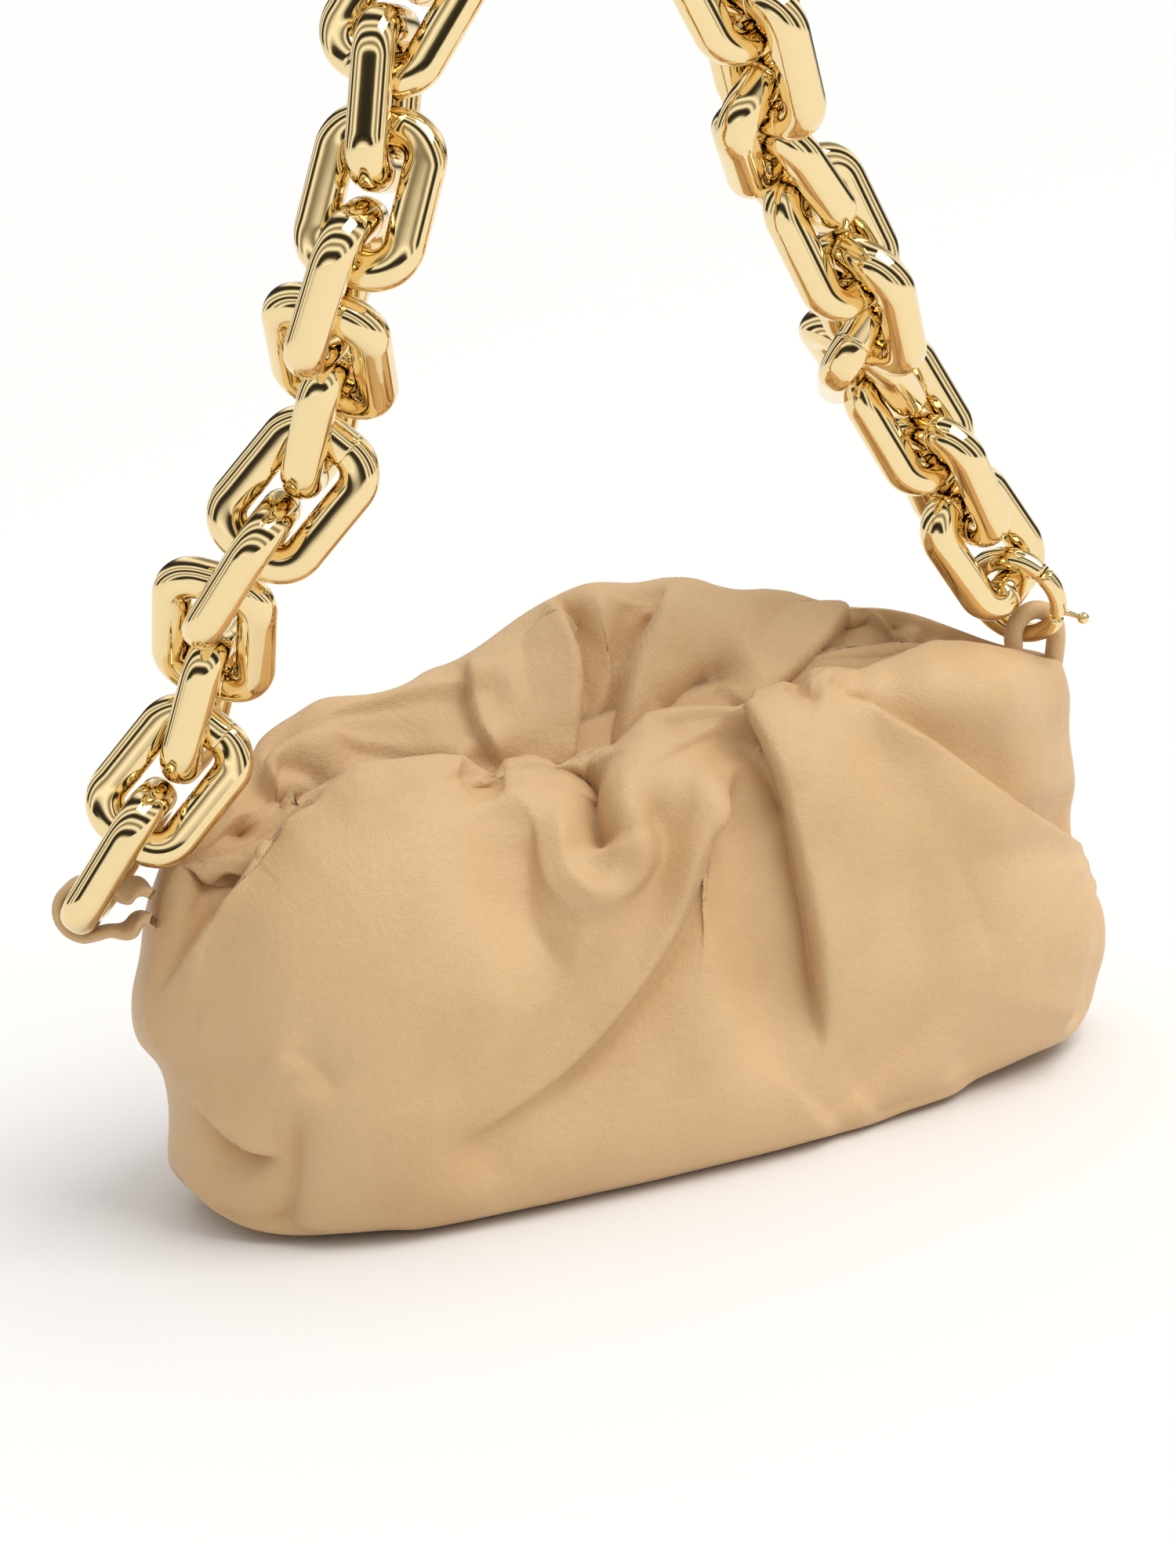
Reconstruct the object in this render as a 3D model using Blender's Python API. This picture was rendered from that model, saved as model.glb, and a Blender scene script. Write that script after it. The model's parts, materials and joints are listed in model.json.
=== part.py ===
"""Gathered leather pouch bag with a strap of heavy rounded-rectangle links.

Metres, +Z up.  The origin is on the surface under the middle of the bag, +X runs along the
mouth towards the clasp end, and -Y is the front.
"""
import math

import bmesh
import bpy
import numpy as np
from mathutils import Matrix, Vector

# Clearance between pieces that touch
GAP = 0.0003
# How far a cutter runs past what it cuts
OVERRUN = 0.004

# Pouch
POUCH_LENGTH = 0.320
POUCH_CENTRE_X = 0.003
# How far the top corners are drawn in, at the height of the rim and a half again
PULL_LEFT = 0.025
PULL_RIGHT = 0.025
PULL_START_SHARE = 0.45
# Distance of the seam under the pouch behind the origin
SEAM_BEHIND_ORIGIN = 0.014
FRONT_DEPTH = 0.059
BACK_DEPTH = 0.066
FRONT_RISE = 0.120
BACK_RISE = 0.158
LEATHER = 0.0022
# Gathered leather at each end of the pouch
END_WALL = 0.0096
LINING = 0.0010
LINING_END_INSET = 0.007
LINING_NECK = 0.030

# Folds of the leather
FOLD_DEPTH = 0.008
FOLD_HALF_WIDTH = 0.013
FOLD_START_SHARE = 0.2
FOLD_FULL_SHARE = 0.4
# Deepest a fold may be, as a share of the room between the two halves' leather
FOLD_LIMIT_SHARE = 0.30
BROW_BULGE_SHARE = 0.18
BROW_STEPS = 3

# Mouth
MOUTH_HALF_GAP = 0.0040
MOUTH_END_INSET = 0.006
MOUTH_TAPER = 0.012
FLAP_DEPTH = 0.016
LIP_DROP = 0.002

# Hidden mouth frame
FRAME_BAR = 0.0034
# Room between each end of the frame and the pouch's end
FRAME_END_ROOM = 0.056
FRAME_HALF_LENGTH = POUCH_LENGTH / 2 - FRAME_END_ROOM
FRAME_BEND = 0.012
HINGE_DROP = 0.028
EYE_RADIUS = 0.0038
PIN_RADIUS = 0.0012
PIN_CLEARANCE = 0.00008
PIN_HEAD = 0.0010
PIN_HEAD_RADIUS = 0.0024
MAGNET_LENGTH = 0.020
MAGNET_HEIGHT = 0.0070
MAGNET_THICK = 0.0025
MAGNET_SPACING = 0.080

# Strap link
LINK_COUNT = 26
LINK_LENGTH = 0.051
LINK_WIDTH = 0.0375
LINK_BAR = 0.012
LINK_CORNER = 0.0085
LINK_SIDES = 8
LINK_CORNER_STEPS = 3

# Lie of the strap, as angles of its run
STRAP_FOOT_REACH = 0.0200
STRAP_FOOT_BEHIND = 0.0020
STRAP_FOOT_HEIGHT = 0.104
VIEW_TURN = math.radians(27)
LINK_TILT = math.radians(25.5)
LINK_SWAY = math.radians(14.6)
LINK_ROLL = math.radians(7.9)
TOP_START_SHARE = 0.40
TOP_END_SHARE = 0.60
CALM_SHARE = 0.07
CALM_FADE_SHARE = 0.09

# Clasp ring
RING_RADIUS = 0.01425
RING_WIRE = 0.0075
RING_THIN_SHARE = 0.72
RING_LEAN = math.radians(24)
RING_TURN = math.radians(28)
RING_STEPS = 18
RING_SIDES = 10
GATE_START = math.radians(62)
GATE_END = math.radians(128)
GATE_STEPS = 5
TONGUE_THICK = 0.0024
TONGUE_RADIUS = 0.0030
NECK_SHARE = 0.85
PIN_SHARE = 0.95
LEVER_RADIUS = 0.0008
LEVER_LENGTH = 0.0045
BALL_RADIUS = 0.0019
BALL_NECK = math.radians(25)
LEVER_INSET = 0.0022

# Leather end loops
LEFT_LOOP_WIDTH = 0.0066
LEFT_LOOP_THICK = 0.0030
RIGHT_LOOP_TUBE = 0.0034
RIGHT_LOOP_RADIUS = 0.0080
RIGHT_LOOP_LEG = 0.0060
RIGHT_LOOP_INSET = 0.0090
LOOP_STEPS = 8

# Steps of the rounded forms
LEATHER_STATIONS = 13
LINING_STATIONS = 7
SECTION_STEPS = 2
BEND_STEPS = 5
EYE_SIDES = 12
BAND_SIDES = 8
BALL_STEPS = 6
BALL_SIDES = 16
SQUARE = ((-1, -1), (1, -1), (1, 1), (-1, 1))
SIDES = ((-1, "left"), (1, "right"))
SOLVE_ROUNDS = 12
SOLVE_STEP = 1e-4

TAN = (0.69, 0.46, 0.25, 1.0)
SUEDE = (0.62, 0.48, 0.34, 1.0)
GOLD = (0.90, 0.62, 0.22, 1.0)
STEEL = (0.55, 0.55, 0.56, 1.0)

# Along the pouch, as shares: place, front depth, back depth, rise, height of the back lobe, lift
POUCH_STATION_SHARES = (
    (0.000, 0.15, 0.15, 0.960, 0.00, 0.130),
    (0.030, 0.42, 0.42, 0.960, 0.08, 0.060),
    (0.090, 0.74, 0.74, 0.980, 0.26, 0.012),
    (0.180, 0.93, 0.90, 1.050, 0.38, 0.000),
    (0.320, 1.00, 1.00, 1.060, 0.42, 0.000),
    (0.480, 1.00, 1.00, 1.100, 0.86, 0.000),
    (0.600, 0.98, 0.98, 1.125, 0.68, 0.000),
    (0.740, 0.92, 0.92, 1.160, 0.32, 0.000),
    (0.860, 0.78, 0.76, 1.150, 0.12, 0.000),
    (0.960, 0.42, 0.42, 1.060, 0.04, 0.050),
    (1.000, 0.15, 0.15, 1.010, 0.00, 0.150),
)
# Around a section: depth and height, each as a share, from the seam up to the rim
FRONT_SECTION_SHARES = (
    (0.00, 0.000), (0.48, 0.000), (0.70, 0.012), (0.86, 0.070), (0.97, 0.200), (1.00, 0.370),
    (0.97, 0.560), (0.86, 0.740), (0.68, 0.890), (0.48, 0.970), (0.30, 1.000),
)
BACK_SECTION_SHARES = (
    (0.00, 0.000), (0.48, 0.000), (0.70, 0.012), (0.86, 0.070), (0.97, 0.200), (1.00, 0.350),
    (0.97, 0.540), (0.88, 0.740), (0.73, 0.900), (0.55, 0.985), (0.36, 1.000),
)
# Folds: how deep, and then the places they run through, along the pouch and up its wall
FRONT_FOLD_SHARES = (
    (0.6, (0.326, 0.83), (0.310, 0.73), (0.331, 0.62)),
    (0.6, (0.385, 0.94), (0.372, 0.76)),
    (0.9, (0.530, 0.87), (0.500, 0.77), (0.459, 0.69), (0.412, 0.61), (0.341, 0.54), (0.253, 0.42)),
    (0.9, (0.550, 0.97), (0.545, 0.84), (0.550, 0.74), (0.545, 0.64), (0.550, 0.50)),
    (0.7, (0.715, 0.78), (0.854, 0.70)),
    (0.5, (0.720, 0.50), (0.640, 0.38)),
    (0.6, (0.079, 0.98), (0.040, 0.81), (0.015, 0.58)),
)
BACK_FOLD_SHARES = (
    (0.8, (0.440, 1.00), (0.450, 1.20)),
    (0.6, (0.570, 1.00), (0.560, 1.20)),
    (0.7, (0.780, 0.95), (0.740, 1.10), (0.700, 1.25)),
    (0.7, (0.170, 1.00), (0.260, 1.10), (0.350, 1.20)),
    (0.6, (0.300, 0.90), (0.320, 0.60)),
    (0.6, (0.640, 0.90), (0.610, 0.60)),
)
# Run and lean of the strap along its length, as shares of a right angle
STRAP_LIE_SHARES = (
    (0.00, 0.687, 0.000),
    (0.14, 0.680, -0.090),
    (0.28, 0.693, -0.290),
    (0.385, 1.000, 0.120),
    (0.50, 0.220, 0.080),
    (0.615, -0.770, 0.185),
    (0.72, -0.700, 0.281),
    (0.86, -0.769, 0.438),
    (1.00, -0.550, 0.100),
)
STRAP_TWIST_SHARES = ((0.15, 0.080), (0.50, 0.234), (0.85, 0.433), (1.00, 0.560))


def clear_scene():
    for obj in list(bpy.data.objects):
        bpy.data.objects.remove(obj, do_unlink=True)


def material(name, colour, roughness, metallic=0.0):
    mat = bpy.data.materials.get(name)
    if mat is None:
        mat = bpy.data.materials.new(name)
        mat.use_nodes = True
        shader = mat.node_tree.nodes["Principled BSDF"]
        shader.inputs["Base Color"].default_value = colour
        shader.inputs["Roughness"].default_value = roughness
        shader.inputs["Metallic"].default_value = metallic
        mat.diffuse_color = colour
    return mat


def mesh_object(name, points, faces, mat, smooth=True):
    """One closed mesh as a named object, its faces turned outwards."""
    mesh = bpy.data.meshes.new(name)
    mesh.from_pydata([tuple(p) for p in np.asarray(points, float)], [], faces)
    bm = bmesh.new()
    bm.from_mesh(mesh)
    bmesh.ops.recalc_face_normals(bm, faces=bm.faces)
    bm.to_mesh(mesh)
    bm.free()
    if smooth:
        mesh.shade_smooth()
        mesh.set_sharp_from_angle(angle=math.radians(40))
    mesh.materials.append(mat)
    obj = bpy.data.objects.new(name, mesh)
    bpy.context.collection.objects.link(obj)
    return obj


def loft_faces(ring_count, side_count, closed):
    """Quads between neighbouring rings, with flat ends or with the last ring joined to the first."""
    faces = []
    for i in range(ring_count if closed else ring_count - 1):
        j = (i + 1) % ring_count
        for k in range(side_count):
            n = (k + 1) % side_count
            faces.append((i * side_count + k, i * side_count + n, j * side_count + n, j * side_count + k))
    if not closed:
        faces.append(tuple(range(side_count)))
        faces.append(tuple(range((ring_count - 1) * side_count, ring_count * side_count)))
    return faces


def loft(name, rings, mat, closed=False, smooth=True):
    rings = np.asarray(rings, float)
    count, sides = rings.shape[:2]
    return mesh_object(name, rings.reshape(-1, 3), loft_faces(count, sides, closed), mat, smooth)


def guide(obj):
    """Keeps a cutter out of the model."""
    obj.hide_render = True
    obj.display_type = "WIRE"
    return obj


def cut(obj, cutter, label):
    mod = obj.modifiers.new(label, "BOOLEAN")
    mod.operation = "DIFFERENCE"
    mod.solver = "EXACT"
    mod.object = guide(cutter)


def unit(v):
    v = np.asarray(v, float)
    return v / np.linalg.norm(v)


def smooth_step(x, start, end):
    t = min(1.0, max(0.0, (x - start) / (end - start)))
    return t * t * (3 - 2 * t)


def catmull(points, steps):
    """A smooth curve through the points, steps to each span (Catmull-Rom)."""
    points = np.asarray(points, float)
    padded = np.vstack([2 * points[0] - points[1], points, 2 * points[-1] - points[-2]])
    out = []
    for i in range(1, len(padded) - 2):
        a, b, c, d = padded[i - 1 : i + 3]
        for t in np.arange(steps) / steps:
            out.append(
                0.5 * (2 * b + (c - a) * t + (2 * a - 5 * b + 4 * c - d) * t * t
                       + (3 * b - a - 3 * c + d) * t ** 3)
            )
    out.append(points[-1])
    return np.array(out)


def tube(name, path, radii, sides, mat, closed=False, first=None, tangents=None):
    """A round tube along a path of points, its sections turned as little as the path allows."""
    path = np.asarray(path, float)
    count = len(path)
    if closed:
        tangents = np.roll(path, -1, 0) - np.roll(path, 1, 0)
    elif tangents is None:
        tangents = np.gradient(path, axis=0)
    tangents /= np.linalg.norm(tangents, axis=1)[:, None]
    side = unit(np.cross(tangents[0], first if first is not None else (0, 0, 1)))
    angles = 2 * np.pi * np.arange(sides) / sides
    rings = []
    for i in range(count):
        side = unit(side - tangents[i] * (side @ tangents[i]))
        other = np.cross(tangents[i], side)
        r = radii[i] if np.ndim(radii) else radii
        rings.append(path[i] + r * (np.cos(angles)[:, None] * side + np.sin(angles)[:, None] * other))
    return loft(name, rings, mat, closed)


# Pouch


def pouch_x(share, height):
    """Place along the pouch: the walls stand upright below, and the top corners are drawn in."""
    side = 2 * share - 1
    high = np.maximum(np.asarray(height) / FRONT_RISE - PULL_START_SHARE, 0)
    pull = PULL_LEFT if side < 0 else PULL_RIGHT
    return POUCH_CENTRE_X + side * (POUCH_LENGTH / 2 - pull * high ** 2 * abs(side))


def pouch_share(x):
    """Share of the pouch's length at a place along its rim."""
    shares = np.linspace(0, 1, 2 * LEATHER_STATIONS + 1)
    return float(np.interp(x, [float(pouch_x(s, FRONT_RISE)) for s in shares], shares))


def station(half, share):
    """Depth, rise and lift of one half at a place along the pouch."""
    table = np.array(POUCH_STATION_SHARES)
    front, back, rise, lobe, lift = [np.interp(share, table[:, 0], column) for column in table[:, 1:].T]
    depth = front * FRONT_DEPTH if half == "front" else back * BACK_DEPTH
    rise = rise * FRONT_RISE + (lobe * (BACK_RISE - FRONT_RISE) if half == "back" else 0)
    return depth, rise, lift * FRONT_RISE


def mouth_half_length():
    return FRAME_HALF_LENGTH - MOUTH_END_INSET


def mouth_half_gap(x):
    """Half the width of the slit: open along the mouth, a seam beyond its ends."""
    seam = GAP / 2
    fade = smooth_step(abs(x), mouth_half_length(), mouth_half_length() + MOUTH_TAPER)
    return MOUTH_HALF_GAP + (seam - MOUTH_HALF_GAP) * fade


def lip_height(share):
    """Height of the edge of the mouth, the same on both halves."""
    return station("front", share)[1] - LIP_DROP


def wall_places():
    """Places up the wall, as shares: one at the crest, more along the brow down to the mouth's edge."""
    steps = (len(FRONT_SECTION_SHARES) - 1) * SECTION_STEPS
    brow = 1 + np.arange(1, BROW_STEPS) / BROW_STEPS * (1 - FOLD_FULL_SHARE)
    return np.concatenate([np.arange(steps + 1) / steps, brow])


def fold_depth(half, share):
    """How far the wall is drawn in along its folds, at each place up one section."""
    places = wall_places()
    girth = FRONT_DEPTH + FRONT_RISE
    here = np.stack([np.full(len(places), share * POUCH_LENGTH), places * girth], 1)
    depth = np.zeros(len(places))
    for deep, *knots in FRONT_FOLD_SHARES if half == "front" else BACK_FOLD_SHARES:
        knots = np.array(knots) * (POUCH_LENGTH, girth)
        away = np.full(len(places), np.inf)
        for start, end in zip(knots[:-1], knots[1:]):
            run = end - start
            t = np.clip((here - start) @ run / (run @ run), 0, 1)
            away = np.minimum(away, np.linalg.norm(here - start - t[:, None] * run, axis=1))
        depth = np.maximum(depth, deep * FOLD_DEPTH * np.exp(-(away / FOLD_HALF_WIDTH) ** 2))
    return depth * fold_reach(places)


def fold_reach(places):
    """Share of the folds' depth up the wall: none where it lies on the surface."""
    return np.array([smooth_step(p, FOLD_START_SHARE, FOLD_FULL_SHARE) for p in places])


def wall_points(half, share, inset, folded=True):
    """Outer wall of one half at a station, as depth and height, moved inwards by an inset."""
    depth, rise, lift = station(half, share)
    path = catmull(FRONT_SECTION_SHARES if half == "front" else BACK_SECTION_SHARES, SECTION_STEPS)
    points = np.stack([path[:, 0] * depth, lift + path[:, 1] * (rise - lift)], 1)
    slit = mouth_half_gap(float(pouch_x(share, rise)))
    crest, edge = points[-1], np.array([slit + LEATHER, lip_height(share)])
    t = (np.arange(1, BROW_STEPS) / BROW_STEPS)[:, None]
    fall = edge - crest
    bulge = 4 * t * (1 - t) * BROW_BULGE_SHARE * np.array([fall[1], -fall[0]])
    points = np.vstack([points, crest + t * fall + bulge])
    run = np.gradient(points, axis=0)
    run /= np.linalg.norm(run, axis=1)[:, None]
    inward = np.stack([-run[:, 1], run[:, 0]], 1)
    drawn = fold_depth(half, share) if folded else FOLD_DEPTH * fold_reach(wall_places())
    drawn = np.minimum(drawn, FOLD_LIMIT_SHARE * np.maximum(points[:, 0] - 2 * LEATHER, 0))
    points = points + (drawn + inset)[:, None] * inward
    points[:, 0] = np.maximum(points[:, 0], GAP / 2)
    points[:, 1] = np.maximum(points[:, 1], lift + inset)
    return points


def section_ring(half, share, depth_height):
    """Depth and height of a section, set at its place along the pouch."""
    sign = -1.0 if half == "front" else 1.0
    depth_height = np.asarray(depth_height)
    x = pouch_x(share, depth_height[:, 1])
    return np.stack([x, sign * depth_height[:, 0], depth_height[:, 1]], 1)


def pouch_shares():
    """Places along the pouch where a section stands, each end of the mouth among them."""
    table = np.array(POUCH_STATION_SHARES)[:, 0]
    even = np.linspace(table[2], table[-3], LEATHER_STATIONS)
    mouth_ends = [
        pouch_share(side * (mouth_half_length() + reach)) for side in (-1, 1) for reach in (0, MOUTH_TAPER)
    ]
    return np.unique(np.concatenate([table[:3], even, table[-3:], mouth_ends]))


def leather_outer(half, share):
    lip = lip_height(share)
    slit = mouth_half_gap(float(pouch_x(share, lip)))
    edge = [
        [slit + LEATHER, lip],
        [slit, lip - LEATHER / 2],
        [slit, lip - FLAP_DEPTH - OVERRUN],
        [GAP / 2, lip - FLAP_DEPTH - 2 * OVERRUN],
    ]
    return section_ring(half, share, np.vstack([wall_points(half, share, 0.0), edge]))


def leather_inner(half, share):
    lip = lip_height(share)
    slit = mouth_half_gap(float(pouch_x(share, lip)))
    wall = wall_points(half, share, LEATHER)
    wall[0, 0] = -OVERRUN
    low = lip - LEATHER
    near = min(slit + 2 * LEATHER, wall[-BROW_STEPS, 0])
    wall[-1] = [max(wall[-1, 0], near), max(wall[-1, 1], low)]
    edge = [
        [slit + LEATHER, low],
        [slit + LEATHER, lip - FLAP_DEPTH],
        [-OVERRUN, lip - FLAP_DEPTH],
    ]
    return section_ring(half, share, np.vstack([wall, edge]))


def leather_half(half, mat):
    """Half of the pouch: an outer loft, less a loft of its inside that leaves a flap at the mouth."""
    shares = pouch_shares()
    end = END_WALL / POUCH_LENGTH
    inside = shares[(shares > 1.1 * end) & (shares < 1 - 1.1 * end)]
    inside = np.concatenate([[end], inside, [1 - end]])
    obj = loft("leather_" + half, [leather_outer(half, s) for s in shares], mat)
    cut(obj, loft("leather_" + half + "_inside", [leather_inner(half, s) for s in inside], mat), "inside")
    return obj


def lining_ring(half, share, extra):
    """A section of the lining, or with an extra inset of its inside."""
    wall = wall_points(half, share, LEATHER + GAP + extra, folded=False)
    wall = wall[: len(FRONT_SECTION_SHARES)]
    top = lip_height(share) - FLAP_DEPTH - 2 * GAP
    neck = MOUTH_HALF_GAP + LINING - extra
    low = top - LINING_NECK
    if extra:
        wall[0, 0] = -OVERRUN
        edge = [[neck, low], [neck, top + OVERRUN], [-OVERRUN, top + OVERRUN]]
    else:
        edge = [[neck, low], [neck, top], [GAP / 2, top]]
    return section_ring(half, share, np.vstack([wall, edge]))


def lining_half(half, mat):
    """Half of the lining bag: it hangs from the flap of the mouth and lies on the leather below."""
    reach = FRAME_HALF_LENGTH - LINING_END_INSET
    low, high = pouch_share(-reach), pouch_share(reach)
    end = LINING / POUCH_LENGTH
    shares = np.linspace(low, high, LINING_STATIONS)
    inside = np.concatenate([[low + end], shares[1:-1], [high - end]])
    obj = loft("lining_" + half, [lining_ring(half, s, 0.0) for s in shares], mat)
    cutter = loft("lining_" + half + "_inside", [lining_ring(half, s, LINING) for s in inside], mat)
    cut(obj, cutter, "inside")
    return obj


# Mouth frame


def frame_bar_height():
    """Height of the frame's bar, under the lowest part of the lip."""
    places = np.linspace(-mouth_half_length(), mouth_half_length(), LINING_STATIONS)
    lowest = min(lip_height(pouch_share(x)) for x in places)
    return lowest - LEATHER - GAP - FRAME_BAR / 2


def frame_bar_depth():
    return MOUTH_HALF_GAP + LEATHER + GAP + FRAME_BAR / 2


def eye_place(half):
    """Distance of a half's eye from the middle: the back half's eyes stand outside the front's."""
    return FRAME_HALF_LENGTH + (FRAME_BAR + GAP if half == "back" else 0)


def frame_path(half):
    """From one eye up its arm, round the bend, along the mouth and down to the other eye."""
    sign = -1.0 if half == "front" else 1.0
    top, depth, x = frame_bar_height(), sign * frame_bar_depth(), eye_place(half)
    arm = [(x, 0.0, top - HINGE_DROP), (x, depth, top - FRAME_BEND - FRAME_BAR)]
    for angle in np.linspace(0, np.pi / 2, BEND_STEPS):
        arm.append((x - FRAME_BEND * (1 - np.cos(angle)), depth, top - FRAME_BEND * (1 - np.sin(angle))))
    right = np.array(arm)
    return np.vstack([right * (-1, 1, 1), right[::-1]])


def square_sweep(name, path, size, mat):
    """A square bar along a path: one side stays square to the mouth's plane."""
    tangents = np.gradient(path, axis=0)
    rings = []
    for point, tangent in zip(path, tangents):
        across = unit(np.cross(unit(tangent), (0, 1, 0)))
        deep = unit(np.cross(across, unit(tangent)))
        rings.append([point + size / 2 * (a * across + b * deep) for a, b in SQUARE])
    return loft(name, rings, mat, smooth=False)


def turned(name, profile, start, axis, sides, mat):
    """A turned piece: its profile lists distance along the axis and radius."""
    start, axis = np.asarray(start, float), unit(axis)
    side = unit(np.cross(axis, (0, 0, 1) if abs(axis[2]) < 0.9 else (1, 0, 0)))
    other = np.cross(axis, side)
    angles = 2 * np.pi * np.arange(sides) / sides
    circle = np.cos(angles)[:, None] * side + np.sin(angles)[:, None] * other
    return loft(name, [start + d * axis + r * circle for d, r in profile], mat)


def frame_half(half, mat):
    """A bar along the mouth whose ends bend down to an eye on the hinge pin."""
    obj = square_sweep("frame_" + half, frame_path(half), FRAME_BAR, mat)
    low = frame_bar_height() - HINGE_DROP
    for side in (-1, 1):
        x = side * eye_place(half)
        label = "left" if side < 0 else "right"
        half_eye = FRAME_BAR / 2
        disc = [(-half_eye, EYE_RADIUS), (half_eye, EYE_RADIUS)]
        eye = turned(f"frame_{half}_{label}_eye", disc, (x, 0, low), (1, 0, 0), EYE_SIDES, mat)
        join(obj, eye, "eye")
        bore = PIN_RADIUS + PIN_CLEARANCE
        hole = [(-half_eye - OVERRUN, bore), (half_eye + OVERRUN, bore)]
        cut(obj, turned(f"frame_{half}_{label}_bore", hole, (x, 0, low), (1, 0, 0), EYE_SIDES, mat), "bore")
    return obj


def hinge_pin(name, side, mat):
    """A rivet through both eyes, a head on each side."""
    inner = eye_place("front") - FRAME_BAR / 2 - GAP
    outer = eye_place("back") + FRAME_BAR / 2 + GAP
    profile = [
        (inner - PIN_HEAD, PIN_HEAD_RADIUS), (inner, PIN_HEAD_RADIUS), (inner, PIN_RADIUS),
        (outer, PIN_RADIUS), (outer, PIN_HEAD_RADIUS), (outer + PIN_HEAD, PIN_HEAD_RADIUS),
    ]
    low = frame_bar_height() - HINGE_DROP
    return turned(name, profile, (0, 0, low), (side, 0, 0), EYE_SIDES, mat)


def box(name, low, high, mat):
    points = [(x, y, z) for x in (low[0], high[0]) for y in (low[1], high[1]) for z in (low[2], high[2])]
    faces = [(0, 1, 3, 2), (4, 6, 7, 5), (0, 4, 5, 1), (2, 3, 7, 6), (0, 2, 6, 4), (1, 5, 7, 3)]
    return mesh_object(name, points, faces, mat, smooth=False)


def magnet(name, half, side, mat):
    """A bar magnet that hangs from the frame's bar."""
    sign = -1.0 if half == "front" else 1.0
    x, y = side * MAGNET_SPACING / 2, sign * frame_bar_depth()
    top = frame_bar_height() - FRAME_BAR / 2 - GAP
    low = (x - MAGNET_LENGTH / 2, y - MAGNET_THICK / 2, top - MAGNET_HEIGHT)
    high = (x + MAGNET_LENGTH / 2, y + MAGNET_THICK / 2, top)
    return box(name, low, high, mat)


# Strap


def strap_foot():
    """Middle of the first link's lower bar, in the left end loop."""
    end = float(pouch_x(0, STRAP_FOOT_HEIGHT))
    return np.array([end - STRAP_FOOT_REACH, STRAP_FOOT_BEHIND, STRAP_FOOT_HEIGHT])


def ring_up():
    return np.array([-math.sin(RING_LEAN), 0.0, math.cos(RING_LEAN)])


def right_loop_x():
    return float(pouch_x(1, FRONT_RISE)) - RIGHT_LOOP_INSET


def ring_low():
    """Middle of the ring's wire where it passes under the right end loop."""
    x = right_loop_x()
    rise = station("back", pouch_share(x))[1]
    room = RIGHT_LOOP_RADIUS - RIGHT_LOOP_TUBE - RING_WIRE / 2 - GAP
    return np.array([x, 0.0, rise + RIGHT_LOOP_LEG + room])


def ring_centre():
    return ring_low() + RING_RADIUS * ring_up()


def strap_end():
    """Middle of the last link's lower bar, in the crown of the clasp ring."""
    return ring_centre() + (RING_RADIUS - RING_WIRE / 2 - GAP - LINK_BAR / 2) * ring_up()


def strap_frame(share, bend):
    """Run of the strap at a share of its length, the direction it faces and the one across it."""
    places, angles, leans = np.array(STRAP_LIE_SHARES).T
    right_angle = math.pi / 2
    down = smooth_step(share, TOP_START_SHARE, TOP_END_SHARE)
    angle = np.interp(share, places, angles) * right_angle + bend[0] * down + bend[1] * (1 - down)
    lean = np.interp(share, places, leans) * right_angle + bend[2] * down
    right = np.array([math.cos(VIEW_TURN), -math.sin(VIEW_TURN), 0.0])
    away = np.array([math.sin(VIEW_TURN), math.cos(VIEW_TURN), 0.0])
    run = math.cos(lean) * (math.cos(angle) * right + math.sin(angle) * np.array([0, 0, 1.0]))
    run = run + math.sin(lean) * away
    face = unit(away - run * (away @ run))
    across = np.cross(face, run)
    twist = np.interp(share, *np.array(STRAP_TWIST_SHARES).T) * right_angle
    face, across = (face * math.cos(twist) + across * math.sin(twist),
                    across * math.cos(twist) - face * math.sin(twist))
    return run, face, across


def lie_of_links(bend):
    """Middle, run and bar direction of every link, each pulled tight against the one before it.

    Edgewise links roll a little from side to side.  Crosswise links lean towards and away from the
    front by turns, and the lean dies out over the calm top of the strap.
    """
    links = []
    half = (LINK_LENGTH - LINK_BAR) / 2
    for number in range(1, LINK_COUNT + 1):
        share = (number - 0.5) / LINK_COUNT
        run, face, across = strap_frame(share, bend)
        swing = min(1.0, max(0.0, (abs(share - 0.5) - CALM_SHARE) / CALM_FADE_SHARE))
        rising = number <= LINK_COUNT // 2
        place = (number + 1) // 2 if rising else (LINK_COUNT - number) // 2 + 1
        turn = 1 if place % 2 else -1
        if number % 2:
            roll = LINK_ROLL * swing * turn
            along = run * math.cos(roll) + across * math.sin(roll)
            bar = face
        else:
            tilt = LINK_TILT * swing * turn
            sway = LINK_SWAY * swing * (turn if rising else -turn)
            if number == LINK_COUNT:
                tilt = sway = 0.0
            along = math.cos(sway) * (run * math.cos(tilt) + face * math.sin(tilt)) + across * math.sin(sway)
            bar = unit(across - along * (across @ along))
        if not links:
            middle = strap_foot() + half * along
        else:
            last_middle, last_along, last_bar, _ = links[-1]
            bar = unit(bar - last_bar * (last_bar @ bar))
            along = unit(along - bar * (bar @ along))
            pull = unit(np.cross(last_bar, bar))
            pull = pull if pull @ run > 0 else -pull
            middle = last_middle + half * last_along - (LINK_BAR + GAP) * pull + half * along
        links.append((middle, along, bar, half))
    return links


def strap_links():
    """The links, with the strap's fall, its top and its lean eased until its end meets the ring."""
    bend = np.zeros(3)
    target = strap_end()

    def miss(trial):
        middle, along, _, half = lie_of_links(trial)[-1]
        return middle + half * along - target

    for _ in range(SOLVE_ROUNDS):
        error = miss(bend)
        slope = np.stack([(miss(bend + step) - error) / SOLVE_STEP for step in SOLVE_STEP * np.eye(3)], 1)
        bend = bend - np.linalg.lstsq(slope, error, rcond=None)[0]
    return lie_of_links(bend)


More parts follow.
